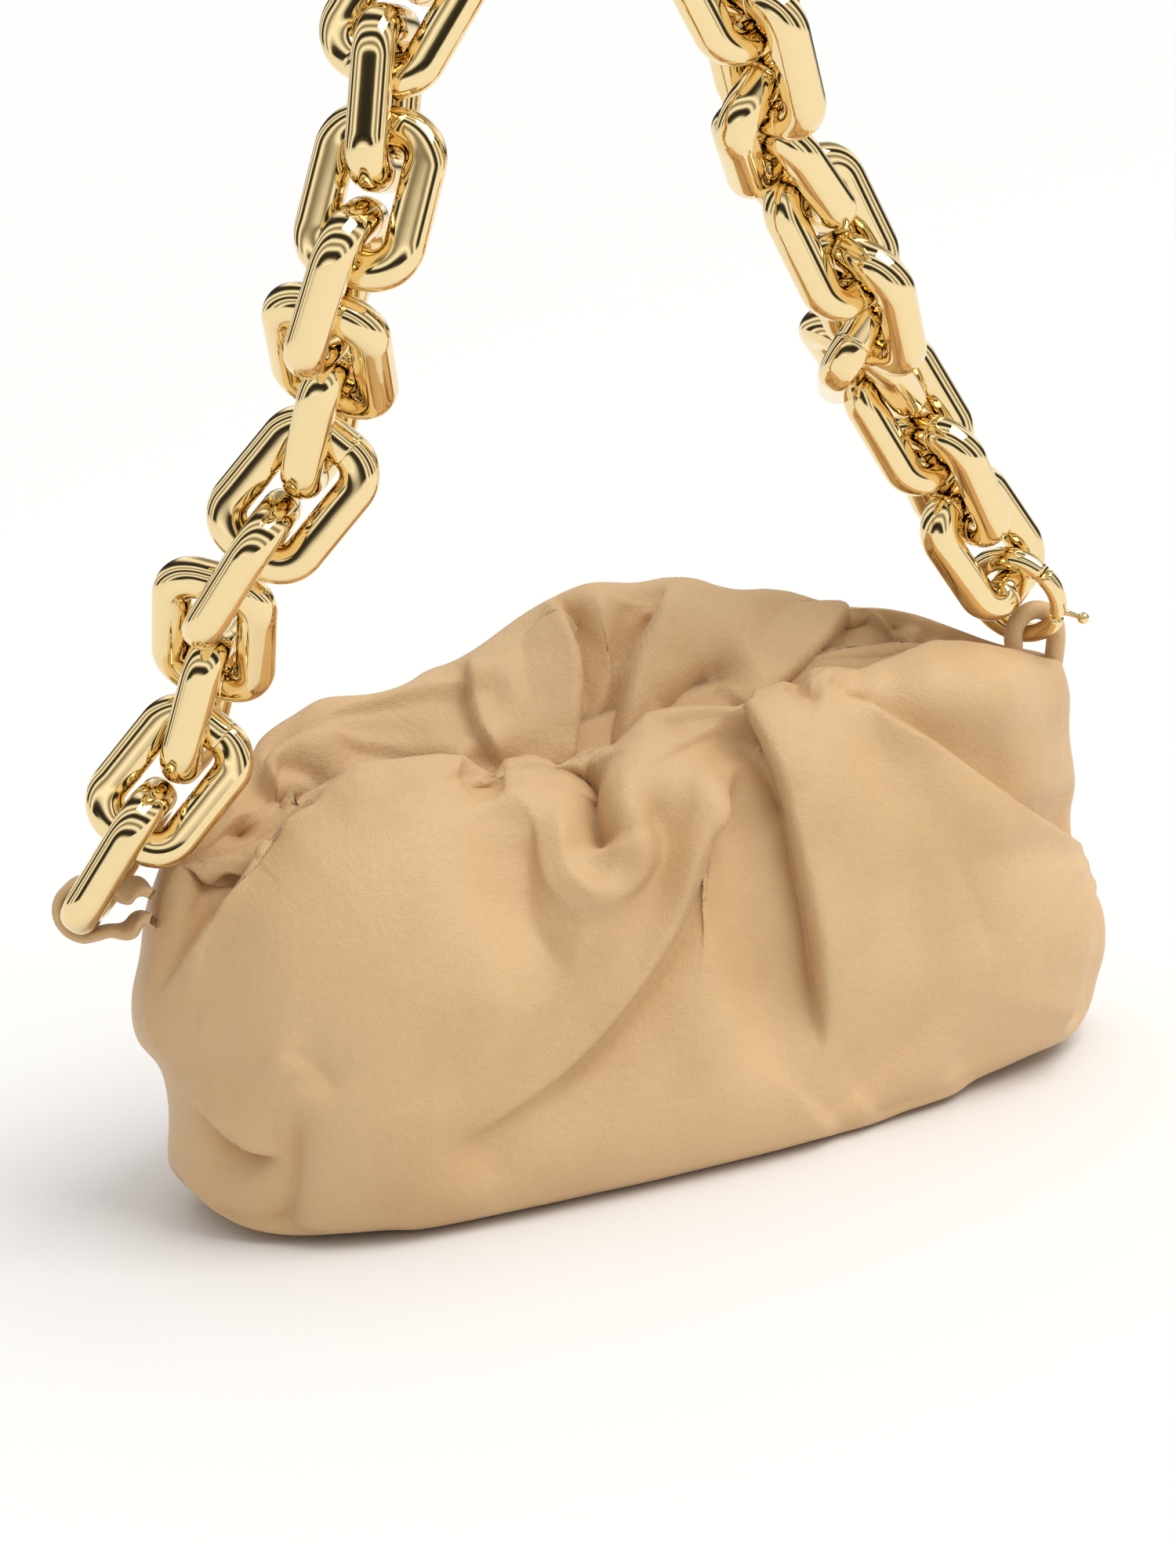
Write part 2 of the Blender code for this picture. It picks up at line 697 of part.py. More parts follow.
def link_mesh(mat):
    """A round bar bent into a rounded rectangle, about the middle of the link, long along Y."""
    half_width, half_length = (LINK_WIDTH - LINK_BAR) / 2, (LINK_LENGTH - LINK_BAR) / 2
    path = []
    corners = ((1, 1, 0), (-1, 1, 1), (-1, -1, 2), (1, -1, 3))
    for side, end, quarter in corners:
        middle = np.array([side * (half_width - LINK_CORNER), end * (half_length - LINK_CORNER), 0])
        for step in range(LINK_CORNER_STEPS + 1):
            angle = (quarter + step / LINK_CORNER_STEPS) * np.pi / 2
            path.append(middle + LINK_CORNER * np.array([math.cos(angle), math.sin(angle), 0]))
    obj = tube("link", path, LINK_BAR / 2, LINK_SIDES, mat, closed=True)
    mesh = obj.data
    bpy.data.objects.remove(obj, do_unlink=True)
    return mesh


def axes_matrix(x, y, z, origin):
    m = Matrix.Identity(4)
    for column, axis in enumerate((x, y, z, origin)):
        for row in range(3):
            m[row][column] = axis[row]
    return m


def pivot(name, place):
    empty = bpy.data.objects.new(name, None)
    empty.location = place
    bpy.context.collection.objects.link(empty)
    return empty


def hold(obj, empty):
    """Parents a piece to the empty on its joint's axis, without moving it."""
    obj.parent = empty
    obj.matrix_parent_inverse = Matrix.Translation(-Vector(empty.location))


def make_strap(mat):
    links = strap_links()
    mesh = link_mesh(mat)
    last_end = links[0][0] - links[0][3] * links[0][1]
    for number, (middle, along, bar, half) in enumerate(links, 1):
        name = f"link_{number:02d}"
        obj = bpy.data.objects.new(name, mesh)
        bpy.context.collection.objects.link(obj)
        obj.matrix_world = axes_matrix(bar, along, np.cross(bar, along), middle)
        hold(obj, pivot(name + "_pivot", last_end))
        last_end = middle + half * along


# Clasp ring


def ring_axes():
    """The ring's own directions: up, sideways in its plane (to the front) and along its axis."""
    up = ring_up()
    axis = np.array([math.cos(RING_TURN), math.sin(RING_TURN), 0.0])
    axis = unit(axis - up * (axis @ up))
    return up, np.cross(up, axis) * -1, axis


def ring_point(angle, radius):
    up, side, _ = ring_axes()
    return ring_centre() + radius * (math.cos(angle) * up + math.sin(angle) * side)


def ring_wire(angle):
    """Radius of the ring's wire: full at the crown and foot, thinner at the gate's free end."""
    thin = 0.5 + 0.5 * math.cos(angle - GATE_END)
    return RING_WIRE / 2 * (1 - (1 - RING_THIN_SHARE) * thin ** 2)


def arc_tube(name, start, end, steps, mat):
    up, side, axis = ring_axes()
    angles = np.linspace(start, end, steps + 1)
    path = np.array([ring_point(a, RING_RADIUS) for a in angles])
    run = np.cos(angles)[:, None] * side - np.sin(angles)[:, None] * up
    return tube(name, path, [ring_wire(a) for a in angles], RING_SIDES, mat, first=axis, tangents=run)


def ball(name, place, radius, mat):
    mesh = bpy.data.meshes.new(name)
    bm = bmesh.new()
    bmesh.ops.create_uvsphere(bm, u_segments=BALL_SIDES, v_segments=BALL_SIDES // 2, radius=radius)
    bm.to_mesh(mesh)
    bm.free()
    mesh.materials.append(mat)
    obj = bpy.data.objects.new(name, mesh)
    obj.location = place
    bpy.context.collection.objects.link(obj)
    return obj


def aligned_box(name, place, axes, low, high, mat):
    """A box given by its low and high corners along its own axes."""
    obj = box(name, low, high, mat)
    obj.matrix_world = axes_matrix(*axes, place)
    return obj


def join(obj, other, label):
    mod = obj.modifiers.new(label, "BOOLEAN")
    mod.operation = "UNION"
    mod.solver = "EXACT"
    mod.object = guide(other)


def make_clasp(mat):
    """An open ring, and a gate with its lever that closes it, hinged as a tongue in a fork."""
    up, side, axis = ring_axes()
    hinge = ring_point(GATE_START, RING_RADIUS)
    wire = ring_wire(GATE_START)
    run = unit(math.cos(GATE_START) * side - math.sin(GATE_START) * up)
    out = unit(hinge - ring_centre())
    axes = (run, out, axis)
    reach = wire + OVERRUN
    slot = TONGUE_THICK / 2 + GAP

    body = arc_tube("ring_body", GATE_END + GAP / RING_RADIUS, GATE_START + 2 * np.pi, RING_STEPS, mat)
    join(body, ball("ring_knuckle", hinge, wire, mat), "knuckle")
    low = (-TONGUE_RADIUS - 2 * GAP, -reach, -slot)
    cut(body, aligned_box("ring_fork", hinge, axes, low, (reach, reach, slot), mat), "fork")
    bore = [(-reach, PIN_RADIUS + PIN_CLEARANCE), (reach, PIN_RADIUS + PIN_CLEARANCE)]
    cut(body, turned("ring_bore", bore, hinge, axis, EYE_SIDES, mat), "bore")

    gate = arc_tube("ring_gate", GATE_START, GATE_END, GATE_STEPS, mat)
    cut(gate, ball("gate_cup", hinge, wire + 2 * GAP, mat), "cup")
    half = TONGUE_THICK / 2
    profile = [(-half, TONGUE_RADIUS), (half, TONGUE_RADIUS)]
    disc = turned("gate_tongue", profile, hinge, axis, EYE_SIDES, mat)
    join(gate, disc, "tongue")
    neck = (wire + OVERRUN, TONGUE_RADIUS * NECK_SHARE, half * NECK_SHARE)
    low = (0, -TONGUE_RADIUS * NECK_SHARE, -half * NECK_SHARE)
    join(gate, aligned_box("gate_neck", hinge, axes, low, neck, mat), "neck")
    cut(gate, turned("gate_bore", bore, hinge, axis, EYE_SIDES, mat), "bore")
    pin_half = wire * PIN_SHARE
    pin = turned("gate_pin", [(-pin_half, PIN_RADIUS), (pin_half, PIN_RADIUS)], hinge, axis, EYE_SIDES, mat)

    lever_angle = GATE_END - LEVER_INSET / RING_RADIUS
    outward = unit(ring_point(lever_angle, RING_RADIUS) - ring_centre())
    root = ring_point(lever_angle, RING_RADIUS + ring_wire(lever_angle) + GAP)
    profile = [(0, LEVER_RADIUS), (LEVER_LENGTH, LEVER_RADIUS)]
    for angle in np.linspace(BALL_NECK, math.pi - BALL_NECK / 2, BALL_STEPS):
        distance = LEVER_LENGTH + BALL_RADIUS * (math.cos(BALL_NECK) - math.cos(angle))
        profile.append((distance, BALL_RADIUS * math.sin(angle)))
    lever = turned("gate_lever", profile, root, outward, RING_SIDES, mat)

    ring_pivot = pivot("ring_pivot", strap_end())
    gate_pivot = pivot("gate_pivot", hinge)
    for obj, empty in ((body, ring_pivot), (pin, ring_pivot), (gate, gate_pivot), (lever, gate_pivot)):
        hold(obj, empty)


# Leather end loops


def band(name, path, across, thick, width, mat):
    """A strip of leather with rounded edges along a path, its width along a direction at each point."""
    tangents = np.gradient(path, axis=0)
    rings = []
    for point, tangent, wide in zip(path, tangents, across):
        tangent = unit(tangent)
        wide = unit(wide - tangent * (wide @ tangent))
        deep = np.cross(tangent, wide)
        ring = []
        for angle in 2 * np.pi * (np.arange(BAND_SIDES) + 0.5) / BAND_SIDES:
            c, s = math.cos(angle), math.sin(angle)
            reach = math.copysign((width - thick) / 2, c) + c * thick / 2
            ring.append(point + wide * reach + deep * s * thick / 2)
        rings.append(ring)
    return loft(name, rings, mat)


def left_loop(mat):
    """A strip from the pouch's end, round the first link's bar and back, turned to lie along the bar."""
    foot = strap_foot()
    bar = strap_links()[0][2]
    out = unit(np.cross(bar, (0, 0, 1)))
    out = out if out[0] < 0 else -out
    up = np.cross(out, bar)
    up = up if up[2] > 0 else -up
    radius = LINK_BAR / 2 + 2 * GAP + LEFT_LOOP_THICK / 2
    legs = []
    for side in (-1, 1):
        start = foot + side * radius * up
        room = GAP + LEFT_LOOP_WIDTH * abs(bar[0]) / 2
        reach = (float(pouch_x(0, start[2])) - room - start[0]) / -out[0]
        legs.append([start - reach * out, start - reach / 2 * out])
    angles = np.linspace(-np.pi / 2, np.pi / 2, LOOP_STEPS + 1)[:, None]
    turn = foot + radius * (np.cos(angles) * out + np.sin(angles) * up)
    path = np.vstack([legs[0], turn, legs[1][::-1]])
    across = [bar] * len(path)
    return band("left_loop", path, across, LEFT_LOOP_THICK, LEFT_LOOP_WIDTH, mat)


def right_loop(mat):
    """A rolled strip that stands on the pouch's end as an arch, over the ring's wire."""
    x = right_loop_x()
    centre = np.array([x, 0.0, ring_low()[2] - (RIGHT_LOOP_RADIUS - RIGHT_LOOP_TUBE - RING_WIRE / 2 - GAP)])
    places = x + np.array([-1, 1]) * RIGHT_LOOP_RADIUS
    feet = [[p, 0.0, station("back", pouch_share(p))[1] + 2 * GAP] for p in places]
    angles = np.linspace(np.pi, 0, LOOP_STEPS + 1)
    arch = centre + RIGHT_LOOP_RADIUS * np.stack([np.cos(angles), 0 * angles, np.sin(angles)], 1)
    path = np.vstack([feet[:1], arch, feet[1:]])
    return tube("right_loop", path, RIGHT_LOOP_TUBE, RING_SIDES, mat, first=(0, 1, 0))


def main():
    clear_scene()
    tan = material("tan_leather", TAN, 0.5)
    suede = material("suede_lining", SUEDE, 0.9)
    gold = material("polished_gold", GOLD, 0.08, 1.0)
    steel = material("frame_steel", STEEL, 0.35, 1.0)
    mouth_pivot = pivot("mouth_pivot", (0, 0, frame_bar_height() - HINGE_DROP))
    for half in ("front", "back"):
        leather_half(half, tan)
        lining_half(half, suede)
        frame = frame_half(half, steel)
        magnets = [magnet(f"magnet_{half}_{label}", half, side, steel) for side, label in SIDES]
        if half == "front":
            for obj in [frame] + magnets:
                hold(obj, mouth_pivot)
    for side, label in SIDES:
        hinge_pin("hinge_pin_" + label, side, steel)
    make_strap(gold)
    make_clasp(gold)
    left_loop(tan)
    right_loop(tan)
    for obj in bpy.data.objects:
        if obj.parent is None:
            obj.location.y += SEAM_BEHIND_ORIGIN


main()
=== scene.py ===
"""Looks of a gathered leather pouch bag with a strap of heavy polished links."""

import json
import math

import bpy
import numpy as np
from mathutils import Matrix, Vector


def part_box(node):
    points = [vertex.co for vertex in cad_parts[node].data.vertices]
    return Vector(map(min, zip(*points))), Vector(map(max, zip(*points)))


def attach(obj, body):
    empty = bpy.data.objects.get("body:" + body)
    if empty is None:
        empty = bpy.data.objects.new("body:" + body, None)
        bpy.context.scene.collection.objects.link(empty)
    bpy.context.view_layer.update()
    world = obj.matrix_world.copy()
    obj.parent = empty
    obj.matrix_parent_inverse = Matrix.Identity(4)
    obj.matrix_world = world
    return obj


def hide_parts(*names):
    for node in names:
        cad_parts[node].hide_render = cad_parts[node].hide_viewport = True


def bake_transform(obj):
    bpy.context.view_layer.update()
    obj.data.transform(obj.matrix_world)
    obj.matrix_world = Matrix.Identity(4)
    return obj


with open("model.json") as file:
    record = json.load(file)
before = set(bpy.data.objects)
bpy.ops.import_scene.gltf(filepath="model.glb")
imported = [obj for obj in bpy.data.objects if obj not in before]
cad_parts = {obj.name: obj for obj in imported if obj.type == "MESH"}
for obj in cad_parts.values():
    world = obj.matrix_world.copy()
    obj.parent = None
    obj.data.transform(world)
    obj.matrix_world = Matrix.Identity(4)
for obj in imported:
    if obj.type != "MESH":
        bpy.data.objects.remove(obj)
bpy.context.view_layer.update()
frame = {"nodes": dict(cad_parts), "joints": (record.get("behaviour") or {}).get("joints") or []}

# Camera, as fitted to the photograph's frame of 1500 by 2000
PICTURE_CENTRE = np.array([750.0, 1000.0])
PICTURE_HEIGHT = 2000
FOCAL_PIXELS = 5471.4
EYE = np.array([-0.5149, -1.1314, 0.4955])
CAMERA_TURN = math.radians(23.72)
CAMERA_DOWN = math.radians(17.02)
CAMERA_ROLL = math.radians(-3.82)
SENSOR_LONG_SIDE = 36.0
CLIP_START = 0.02

# Pouch, the same driving sizes as its solids
SEAM_Y = 0.014
POUCH_LENGTH = 0.320
POUCH_CENTRE_X = 0.003
PULL_LEFT = 0.025
PULL_RIGHT = 0.025
PULL_START_SHARE = 0.45
FRONT_DEPTH = 0.059
BACK_DEPTH = 0.066
FRONT_RISE = 0.120
BACK_RISE = 0.158
LEATHER = 0.0022
MOUTH_HALF_GAP = 0.0040
MOUTH_HALF_LENGTH = 0.098
MOUTH_TAPER = 0.012
FLAP_DEPTH = 0.016
LIP_DROP = 0.002
FOLD_DEPTH = 0.008
FOLD_HALF_WIDTH = 0.013
FOLD_START_SHARE = 0.2
FOLD_FULL_SHARE = 0.4
FOLD_LIMIT_SHARE = 0.30
BROW_BULGE_SHARE = 0.18
MM = 0.001
# Limits of the slit and of the mouth's edge, as shares of the depth, so that they close at the ends
SLIT_DEPTH_SHARE = 0.2
EDGE_DEPTH_SHARE = 0.3
# Control points of the brow, as shares of the way to the edge, and of the flap, as shares of its depth
BROW_PLACES = (1 / 3, 2 / 3)
FLAP_DROPS = (0.2, 0.7, 1.3)

# Along the pouch, as shares: place, front depth, back depth, rise, height of the back lobe, lift
POUCH_STATION_SHARES = (
    (0.000, 0.00, 0.00, 0.960, 0.00, 0.200),
    (0.030, 0.42, 0.42, 0.960, 0.08, 0.060),
    (0.090, 0.74, 0.74, 0.980, 0.26, 0.012),
    (0.180, 0.93, 0.90, 1.050, 0.38, 0.000),
    (0.320, 1.00, 1.00, 1.060, 0.42, 0.000),
    (0.480, 1.00, 1.00, 1.100, 0.86, 0.000),
    (0.600, 0.98, 0.98, 1.125, 0.68, 0.000),
    (0.740, 0.92, 0.92, 1.160, 0.32, 0.000),
    (0.860, 0.78, 0.76, 1.150, 0.12, 0.000),
    (0.960, 0.42, 0.42, 1.060, 0.04, 0.050),
    (1.000, 0.00, 0.00, 1.010, 0.00, 0.220),
)
# Around a section: depth and height, each as a share, from the seam up to the rim
FRONT_SECTION_SHARES = (
    (0.00, 0.000), (0.55, 0.000), (0.82, 0.012), (0.96, 0.070), (1.03, 0.190), (1.03, 0.360),
    (0.97, 0.560), (0.86, 0.740), (0.68, 0.890), (0.48, 0.970), (0.30, 1.000),
)
BACK_SECTION_SHARES = (
    (0.00, 0.000), (0.48, 0.000), (0.70, 0.012), (0.86, 0.070), (0.97, 0.200), (1.00, 0.350),
    (0.97, 0.540), (0.88, 0.740), (0.73, 0.900), (0.55, 0.985), (0.36, 1.000),
)
# Broad folds: how deep, and then the places they run through, along the pouch and up its wall
FRONT_FOLD_SHARES = (
    (0.6, (0.326, 0.83), (0.310, 0.73), (0.331, 0.62)),
    (0.6, (0.385, 0.94), (0.372, 0.76)),
    (0.9, (0.530, 0.87), (0.500, 0.77), (0.459, 0.69), (0.412, 0.61), (0.341, 0.54), (0.253, 0.42)),
    (0.9, (0.550, 0.97), (0.545, 0.84), (0.550, 0.74), (0.545, 0.64), (0.550, 0.50)),
    (0.7, (0.715, 0.78), (0.854, 0.70)),
    (0.5, (0.720, 0.50), (0.640, 0.38)),
    (0.6, (0.079, 0.98), (0.040, 0.81), (0.015, 0.58)),
)
BACK_FOLD_SHARES = (
    (0.8, (0.440, 1.00), (0.450, 1.20)),
    (0.6, (0.570, 1.00), (0.560, 1.20)),
    (0.7, (0.780, 0.95), (0.740, 1.10), (0.700, 1.25)),
    (0.7, (0.170, 1.00), (0.260, 1.10), (0.350, 1.20)),
    (0.6, (0.300, 0.90), (0.320, 0.60)),
    (0.6, (0.640, 0.90), (0.610, 0.60)),
)
# Control points of a section, counted from the seam: the last one of the wall and the mouth's edge
RIM_PLACE = len(FRONT_SECTION_SHARES) - 1
EDGE_PLACE = RIM_PLACE + len(BROW_PLACES) + 1
# Between these places of a section the front's edge is let down, the roll's overhang grows and dies out,
# the folds die out inside the mouth, and the back's folds set in
EDGE_DROP_PLACES = (8.0, 11.5)
HANG_GROWS = (10.3, 12.3)
HANG_FADES = (12.4, 13.0)
FOLDS_FADE = (12.4, 12.9)
BACK_FOLDS_GROW = (9.0, 10.0)
# Distances from the nearer end, as shares of the length, between which the overhang and the folds set in
HANG_ENDS = (0.12, 0.22)
FOLD_ENDS = (0.0, 0.03)
# Cosines of a face's angle to the line of sight between which its folds set in
FACING_COSINES = (-0.05, 0.25)
POUCH_GRID = (430, 215)
LINING_GRID = (120, 48)
LINING_THICK = 0.0010
LINING_SHARE = 0.66
LINING_LENGTH_SHARE = 0.88
LINING_NECK_SHARE = 0.10
LINING_NECK_START = 0.80
LINING_LIFT = 0.006

# Strap link
LINK_LENGTH = 0.051
LINK_WIDTH = 0.0375
LINK_BAR = 0.012
LINK_CORNER = 0.0085
LINK_COUNT = 26
LINK_GRID = (140, 44)
# The section is squarer than a circle, and slimmer, so that its corners stay within the bar
LINK_SQUARENESS = 2.30
LINK_SLIM_SHARE = 0.955
SEAM_WIDTH = 0.00022
SEAM_DEPTH = 0.00016
# Rings of points beside a closing seam, in widths of the seam
SEAM_PLACES = (-2, -1, -0.4, 0.4, 1, 2)

# Clasp ring
RING_RADIUS = 0.01425
RING_WIRE = 0.0075
RING_THIN_SHARE = 0.72
RING_LEAN = math.radians(24)
RING_TURN = math.radians(28)
GATE_START = math.radians(62)
GATE_END = math.radians(128)
GAP = 0.0003
RING_GRID = (120, 40)
GATE_GRID = (40, 40)
# Length of the dome at each end of a stretch of wire, as a share of the wire
DOME_SHARE = 0.18
LEVER_RADIUS = 0.0008
LEVER_LENGTH = 0.0045
BALL_RADIUS = 0.0019
LEVER_INSET = 0.0022
# How much wider the lever's stem is at its root, as a share of its radius
LEVER_FLARE_SHARE = 0.5
LEVER_STEPS = 8
LEVER_SIDES = 24
# Angle from the ball's pole at which the ball leaves the stem
BALL_START = 0.45
BALL_STEPS = 16

# Leather end loops
LEFT_LOOP_THICK = 0.0030
RIGHT_LOOP_TUBE = 0.0034
RIGHT_LOOP_RADIUS = 0.0080
LEFT_LOOP_REACH = 0.020
LEFT_LOOP_GRID = 120
LEFT_LOOP_TURN_STEPS = 17
LEFT_LOOP_LEG_STEPS = 9
# Share of the strip, from its middle to an end, from which it is ruffled and widens
LEFT_LOOP_LEG_START = 0.45
BAND_SIDES = 24
# How much nearer to each other the two legs are at the leather, and their width there and at the bar
LEFT_LOOP_PINCH = 0.50
LEFT_LOOP_BAR_WIDTH = 0.0095
LEFT_LOOP_FOOT_WIDTH = 0.0135
RUFFLES = 5
RUFFLE_HEIGHT = 0.0010
RUFFLE_TWIST = 0.5
# Below the arch: how far a leg leans towards the pouch's middle and has dropped
RIGHT_LOOP_LEG = ((0.0, 0.003), (0.0012, 0.008), (0.0036, 0.014), (0.0080, 0.022), (0.0120, 0.032))
# The leg on the pouch's side leans more than that by this share and the other less
LEAN_STEP = 0.4
RIGHT_LOOP_GRID = 90
RIGHT_LOOP_ARCH_STEPS = 15
RIGHT_LOOP_SIDES = 32
# How much the rolled strip's radius grows in one turn, which leaves its edge as a step along the tube
ROLL_STEP = 0.22


# Mathematics

TINY_LENGTH = 1e-12
TINY_SHARE = 1e-3
# Samples per control point, for the length of a curve and for the distance to a line
LENGTH_STEPS = 40
LINE_STEPS = 6


def unit(v):
    v = np.asarray(v, float)
    return v / np.linalg.norm(v, axis=-1, keepdims=True)


def smooth_step(x, start, end):
    t = np.clip((x - start) / (end - start), 0, 1)
    return t * t * (3 - 2 * t)


def curve_through(points, places):
    """Points of a smooth curve: a cubic between neighbours whose slope at a point is half the step over it.

    points has its control points on its second-last axis, and places counts along them.
    """
    first = 2 * points[..., :1, :] - points[..., 1:2, :]
    last = 2 * points[..., -1:, :] - points[..., -2:-1, :]
    padded = np.concatenate([first, points, last], -2)
    i = np.clip(np.floor(places).astype(int), 0, points.shape[-2] - 2)
    t = (places - i)[:, None]
    a, b, c, d = (padded[..., i + k, :] for k in range(4))
    bend, twist = 2 * a - 5 * b + 4 * c - d, 3 * b - a - 3 * c + d
    return 0.5 * (2 * b + (c - a) * t + bend * t ** 2 + twist * t ** 3)


def even_places(points, count):
    """Places along control points that stand at equal distances on their curve."""
    fine = np.linspace(0, len(points) - 1, LENGTH_STEPS * len(points))
    run = curve_through(points, fine)
    length = np.concatenate([[0], np.cumsum(np.linalg.norm(np.diff(run, axis=0), axis=1))])
    return np.interp(np.linspace(0, length[-1], count), length, fine)


def grid_object(name, points, mat, close_u=False, close_v=False, flip=False):
    """A mesh of quads over a grid of points."""
    nu, nv = points.shape[:2]
    iu = np.arange(nu if close_u else nu - 1)
    iv = np.arange(nv if close_v else nv - 1)
    a, b = np.meshgrid(iu, iv, indexing="ij")
    a2, b2 = (a + 1) % nu, (b + 1) % nv
    corners = [a * nv + b, a2 * nv + b, a2 * nv + b2, a * nv + b2]
    faces = np.stack(corners[::-1] if flip else corners, -1).reshape(-1, 4)
    mesh = bpy.data.meshes.new(name)
    mesh.from_pydata(points.reshape(-1, 3), [], faces)
    mesh.shade_smooth()
    mesh.materials.append(mat)
    obj = bpy.data.objects.new(name, mesh)
    bpy.context.collection.objects.link(obj)
    return obj


def frames_along(path, first):
    """Two directions at each point of a path, square to it and to each other, from a first side."""
    run = unit(np.gradient(path, axis=0))
    side = unit(first - run * (run @ np.asarray(first, float))[:, None])
    return side, np.cross(run, side)


# Picture


def camera_axes():
    turn, down, roll = CAMERA_TURN, CAMERA_DOWN, CAMERA_ROLL
    forward = np.array([math.sin(turn) * math.cos(down), math.cos(turn) * math.cos(down), -math.sin(down)])
    level = np.array([math.cos(turn), -math.sin(turn), 0.0])
    up = np.cross(level, forward)
    right = level * math.cos(roll) + up * math.sin(roll)
    return right, up * math.cos(roll) - level * math.sin(roll), forward


def picture_place(points):
    """Pixel of the photograph's frame that each point falls on."""
    right, up, forward = camera_axes()
    away = points - EYE
    depth = away @ forward
    across = np.stack([away @ right, -(away @ up)], -1)
    return PICTURE_CENTRE + FOCAL_PIXELS * across / depth[..., None]


def make_camera():
    data = bpy.data.cameras.new("camera")
    data.sensor_width = SENSOR_LONG_SIDE
    data.lens = FOCAL_PIXELS / PICTURE_HEIGHT * SENSOR_LONG_SIDE
    data.clip_start = CLIP_START
    camera = bpy.data.objects.new("camera", data)
    right, up, forward = camera_axes()
    m = np.eye(4)
    m[:3, 0], m[:3, 1], m[:3, 2], m[:3, 3] = right, up, -forward, EYE
    camera.matrix_world = Matrix(m.tolist())
    bpy.context.collection.objects.link(camera)
    bpy.context.scene.camera = camera


# Materials


def new_material(name, colour, roughness, metallic=0.0):
    mat = bpy.data.materials.new(name)
    mat.use_nodes = True
    shader = mat.node_tree.nodes["Principled BSDF"]
    shader.inputs["Base Color"].default_value = (*colour, 1)
    shader.inputs["Roughness"].default_value = roughness
    shader.inputs["Metallic"].default_value = metallic
    mat.diffuse_color = (*colour, 1)
    return mat, mat.node_tree, shader


def node(tree, kind, **values):
    made = tree.nodes.new(kind)
    for key, value in values.items():
        if key in made.inputs:
            made.inputs[key].default_value = value
        else:
            setattr(made, key, value)
    return made


def ramp(tree, stops, source):
    made = tree.nodes.new("ShaderNodeValToRGB")
    elements = made.color_ramp.elements
    while len(elements) < len(stops):
        elements.new(0.5)
    for element, (place, colour) in zip(elements, stops):
        element.position = place
        element.color = (*colour, 1)
    tree.links.new(source, made.inputs["Fac"])
    return made.outputs["Color"]


LEATHER_COLOUR = (0.700, 0.465, 0.240)
LEATHER_DARK_SHARES = (0.88, 0.84, 0.78)
LEATHER_LIGHT_SHARES = (1.06, 1.06, 1.08)
LEATHER_ROUGHNESS = (0.38, 0.52)
SUEDE_COLOUR = (0.50, 0.36, 0.22)
SUEDE_DARK = (0.42, 0.29, 0.17)
SUEDE_LIGHT = (0.56, 0.41, 0.26)
GOLD_COLOUR = (0.870, 0.690, 0.380)
# The haze runs over the first pair and gives roughness over the second
GOLD_HAZE = (0.35, 0.75)
GOLD_ROUGHNESS = (0.03, 0.075)
STEEL_COLOUR = (0.50, 0.50, 0.51)
STEEL_ROUGHNESS = (0.26, 0.46)
# How finely the drawing lines repeat along the mouth and across it
STEEL_LINES = (60, 2400, 2400)


def texture_place(tree):
    return node(tree, "ShaderNodeTexCoord").outputs["Object"]


def vary_roughness(tree, shader, source, roughness, span=(0.0, 1.0)):
    """Roughness that runs over its two values while the source runs over the span."""
    made = node(tree, "ShaderNodeMapRange")
    made.inputs["From Min"].default_value, made.inputs["From Max"].default_value = span
    made.inputs["To Min"].default_value, made.inputs["To Max"].default_value = roughness
    tree.links.new(source, made.inputs["Value"])
    tree.links.new(made.outputs["Result"], shader.inputs["Roughness"])


def emboss(tree, shader, source, strength, distance, below=None):
    """Relief after a source, over the relief below it if there is one, as the shader's normal."""
    made = node(tree, "ShaderNodeBump", Strength=strength, Distance=distance)
    tree.links.new(source, made.inputs["Height"])
    if below is not None:
        tree.links.new(below, made.inputs["Normal"])
    tree.links.new(made.outputs["Normal"], shader.inputs["Normal"])
    return made.outputs["Normal"]


def leather():
    """Fine-grained calf: small pebbles parted by creases, a faint mottle and a satin face."""
    mat, tree, shader = new_material("tan_leather", LEATHER_COLOUR, 0.44)
    link = tree.links.new
    place = texture_place(tree)
    pebbles = node(tree, "ShaderNodeTexVoronoi", feature="DISTANCE_TO_EDGE", Scale=1250.0)
    warp = node(tree, "ShaderNodeTexNoise", Scale=380.0, Detail=3.0, Roughness=0.6)
    wrinkles = node(tree, "ShaderNodeTexNoise", Scale=420.0, Detail=3.0, Roughness=0.6)
    mottle = node(tree, "ShaderNodeTexNoise", Scale=14.0, Detail=4.0, Roughness=0.55)
    for texture in (pebbles, warp, wrinkles, mottle):
        link(place, texture.inputs["Vector"])
    dark = tuple(c * f for c, f in zip(LEATHER_COLOUR, LEATHER_DARK_SHARES))
    light = tuple(c * f for c, f in zip(LEATHER_COLOUR, LEATHER_LIGHT_SHARES))
    colour = ramp(tree, ((0.30, dark), (0.50, LEATHER_COLOUR), (0.72, light)), mottle.outputs["Fac"])
    link(colour, shader.inputs["Base Color"])
    vary_roughness(tree, shader, warp.outputs["Fac"], LEATHER_ROUGHNESS)
    coarse = emboss(tree, shader, wrinkles.outputs["Fac"], 0.5, 0.0007)
    emboss(tree, shader, pebbles.outputs["Distance"], 0.55, 0.00040, coarse)
    shader.inputs["Sheen Weight"].default_value = 0.10
    shader.inputs["Sheen Roughness"].default_value = 0.45
    shader.inputs["Specular IOR Level"].default_value = 0.42
    return mat


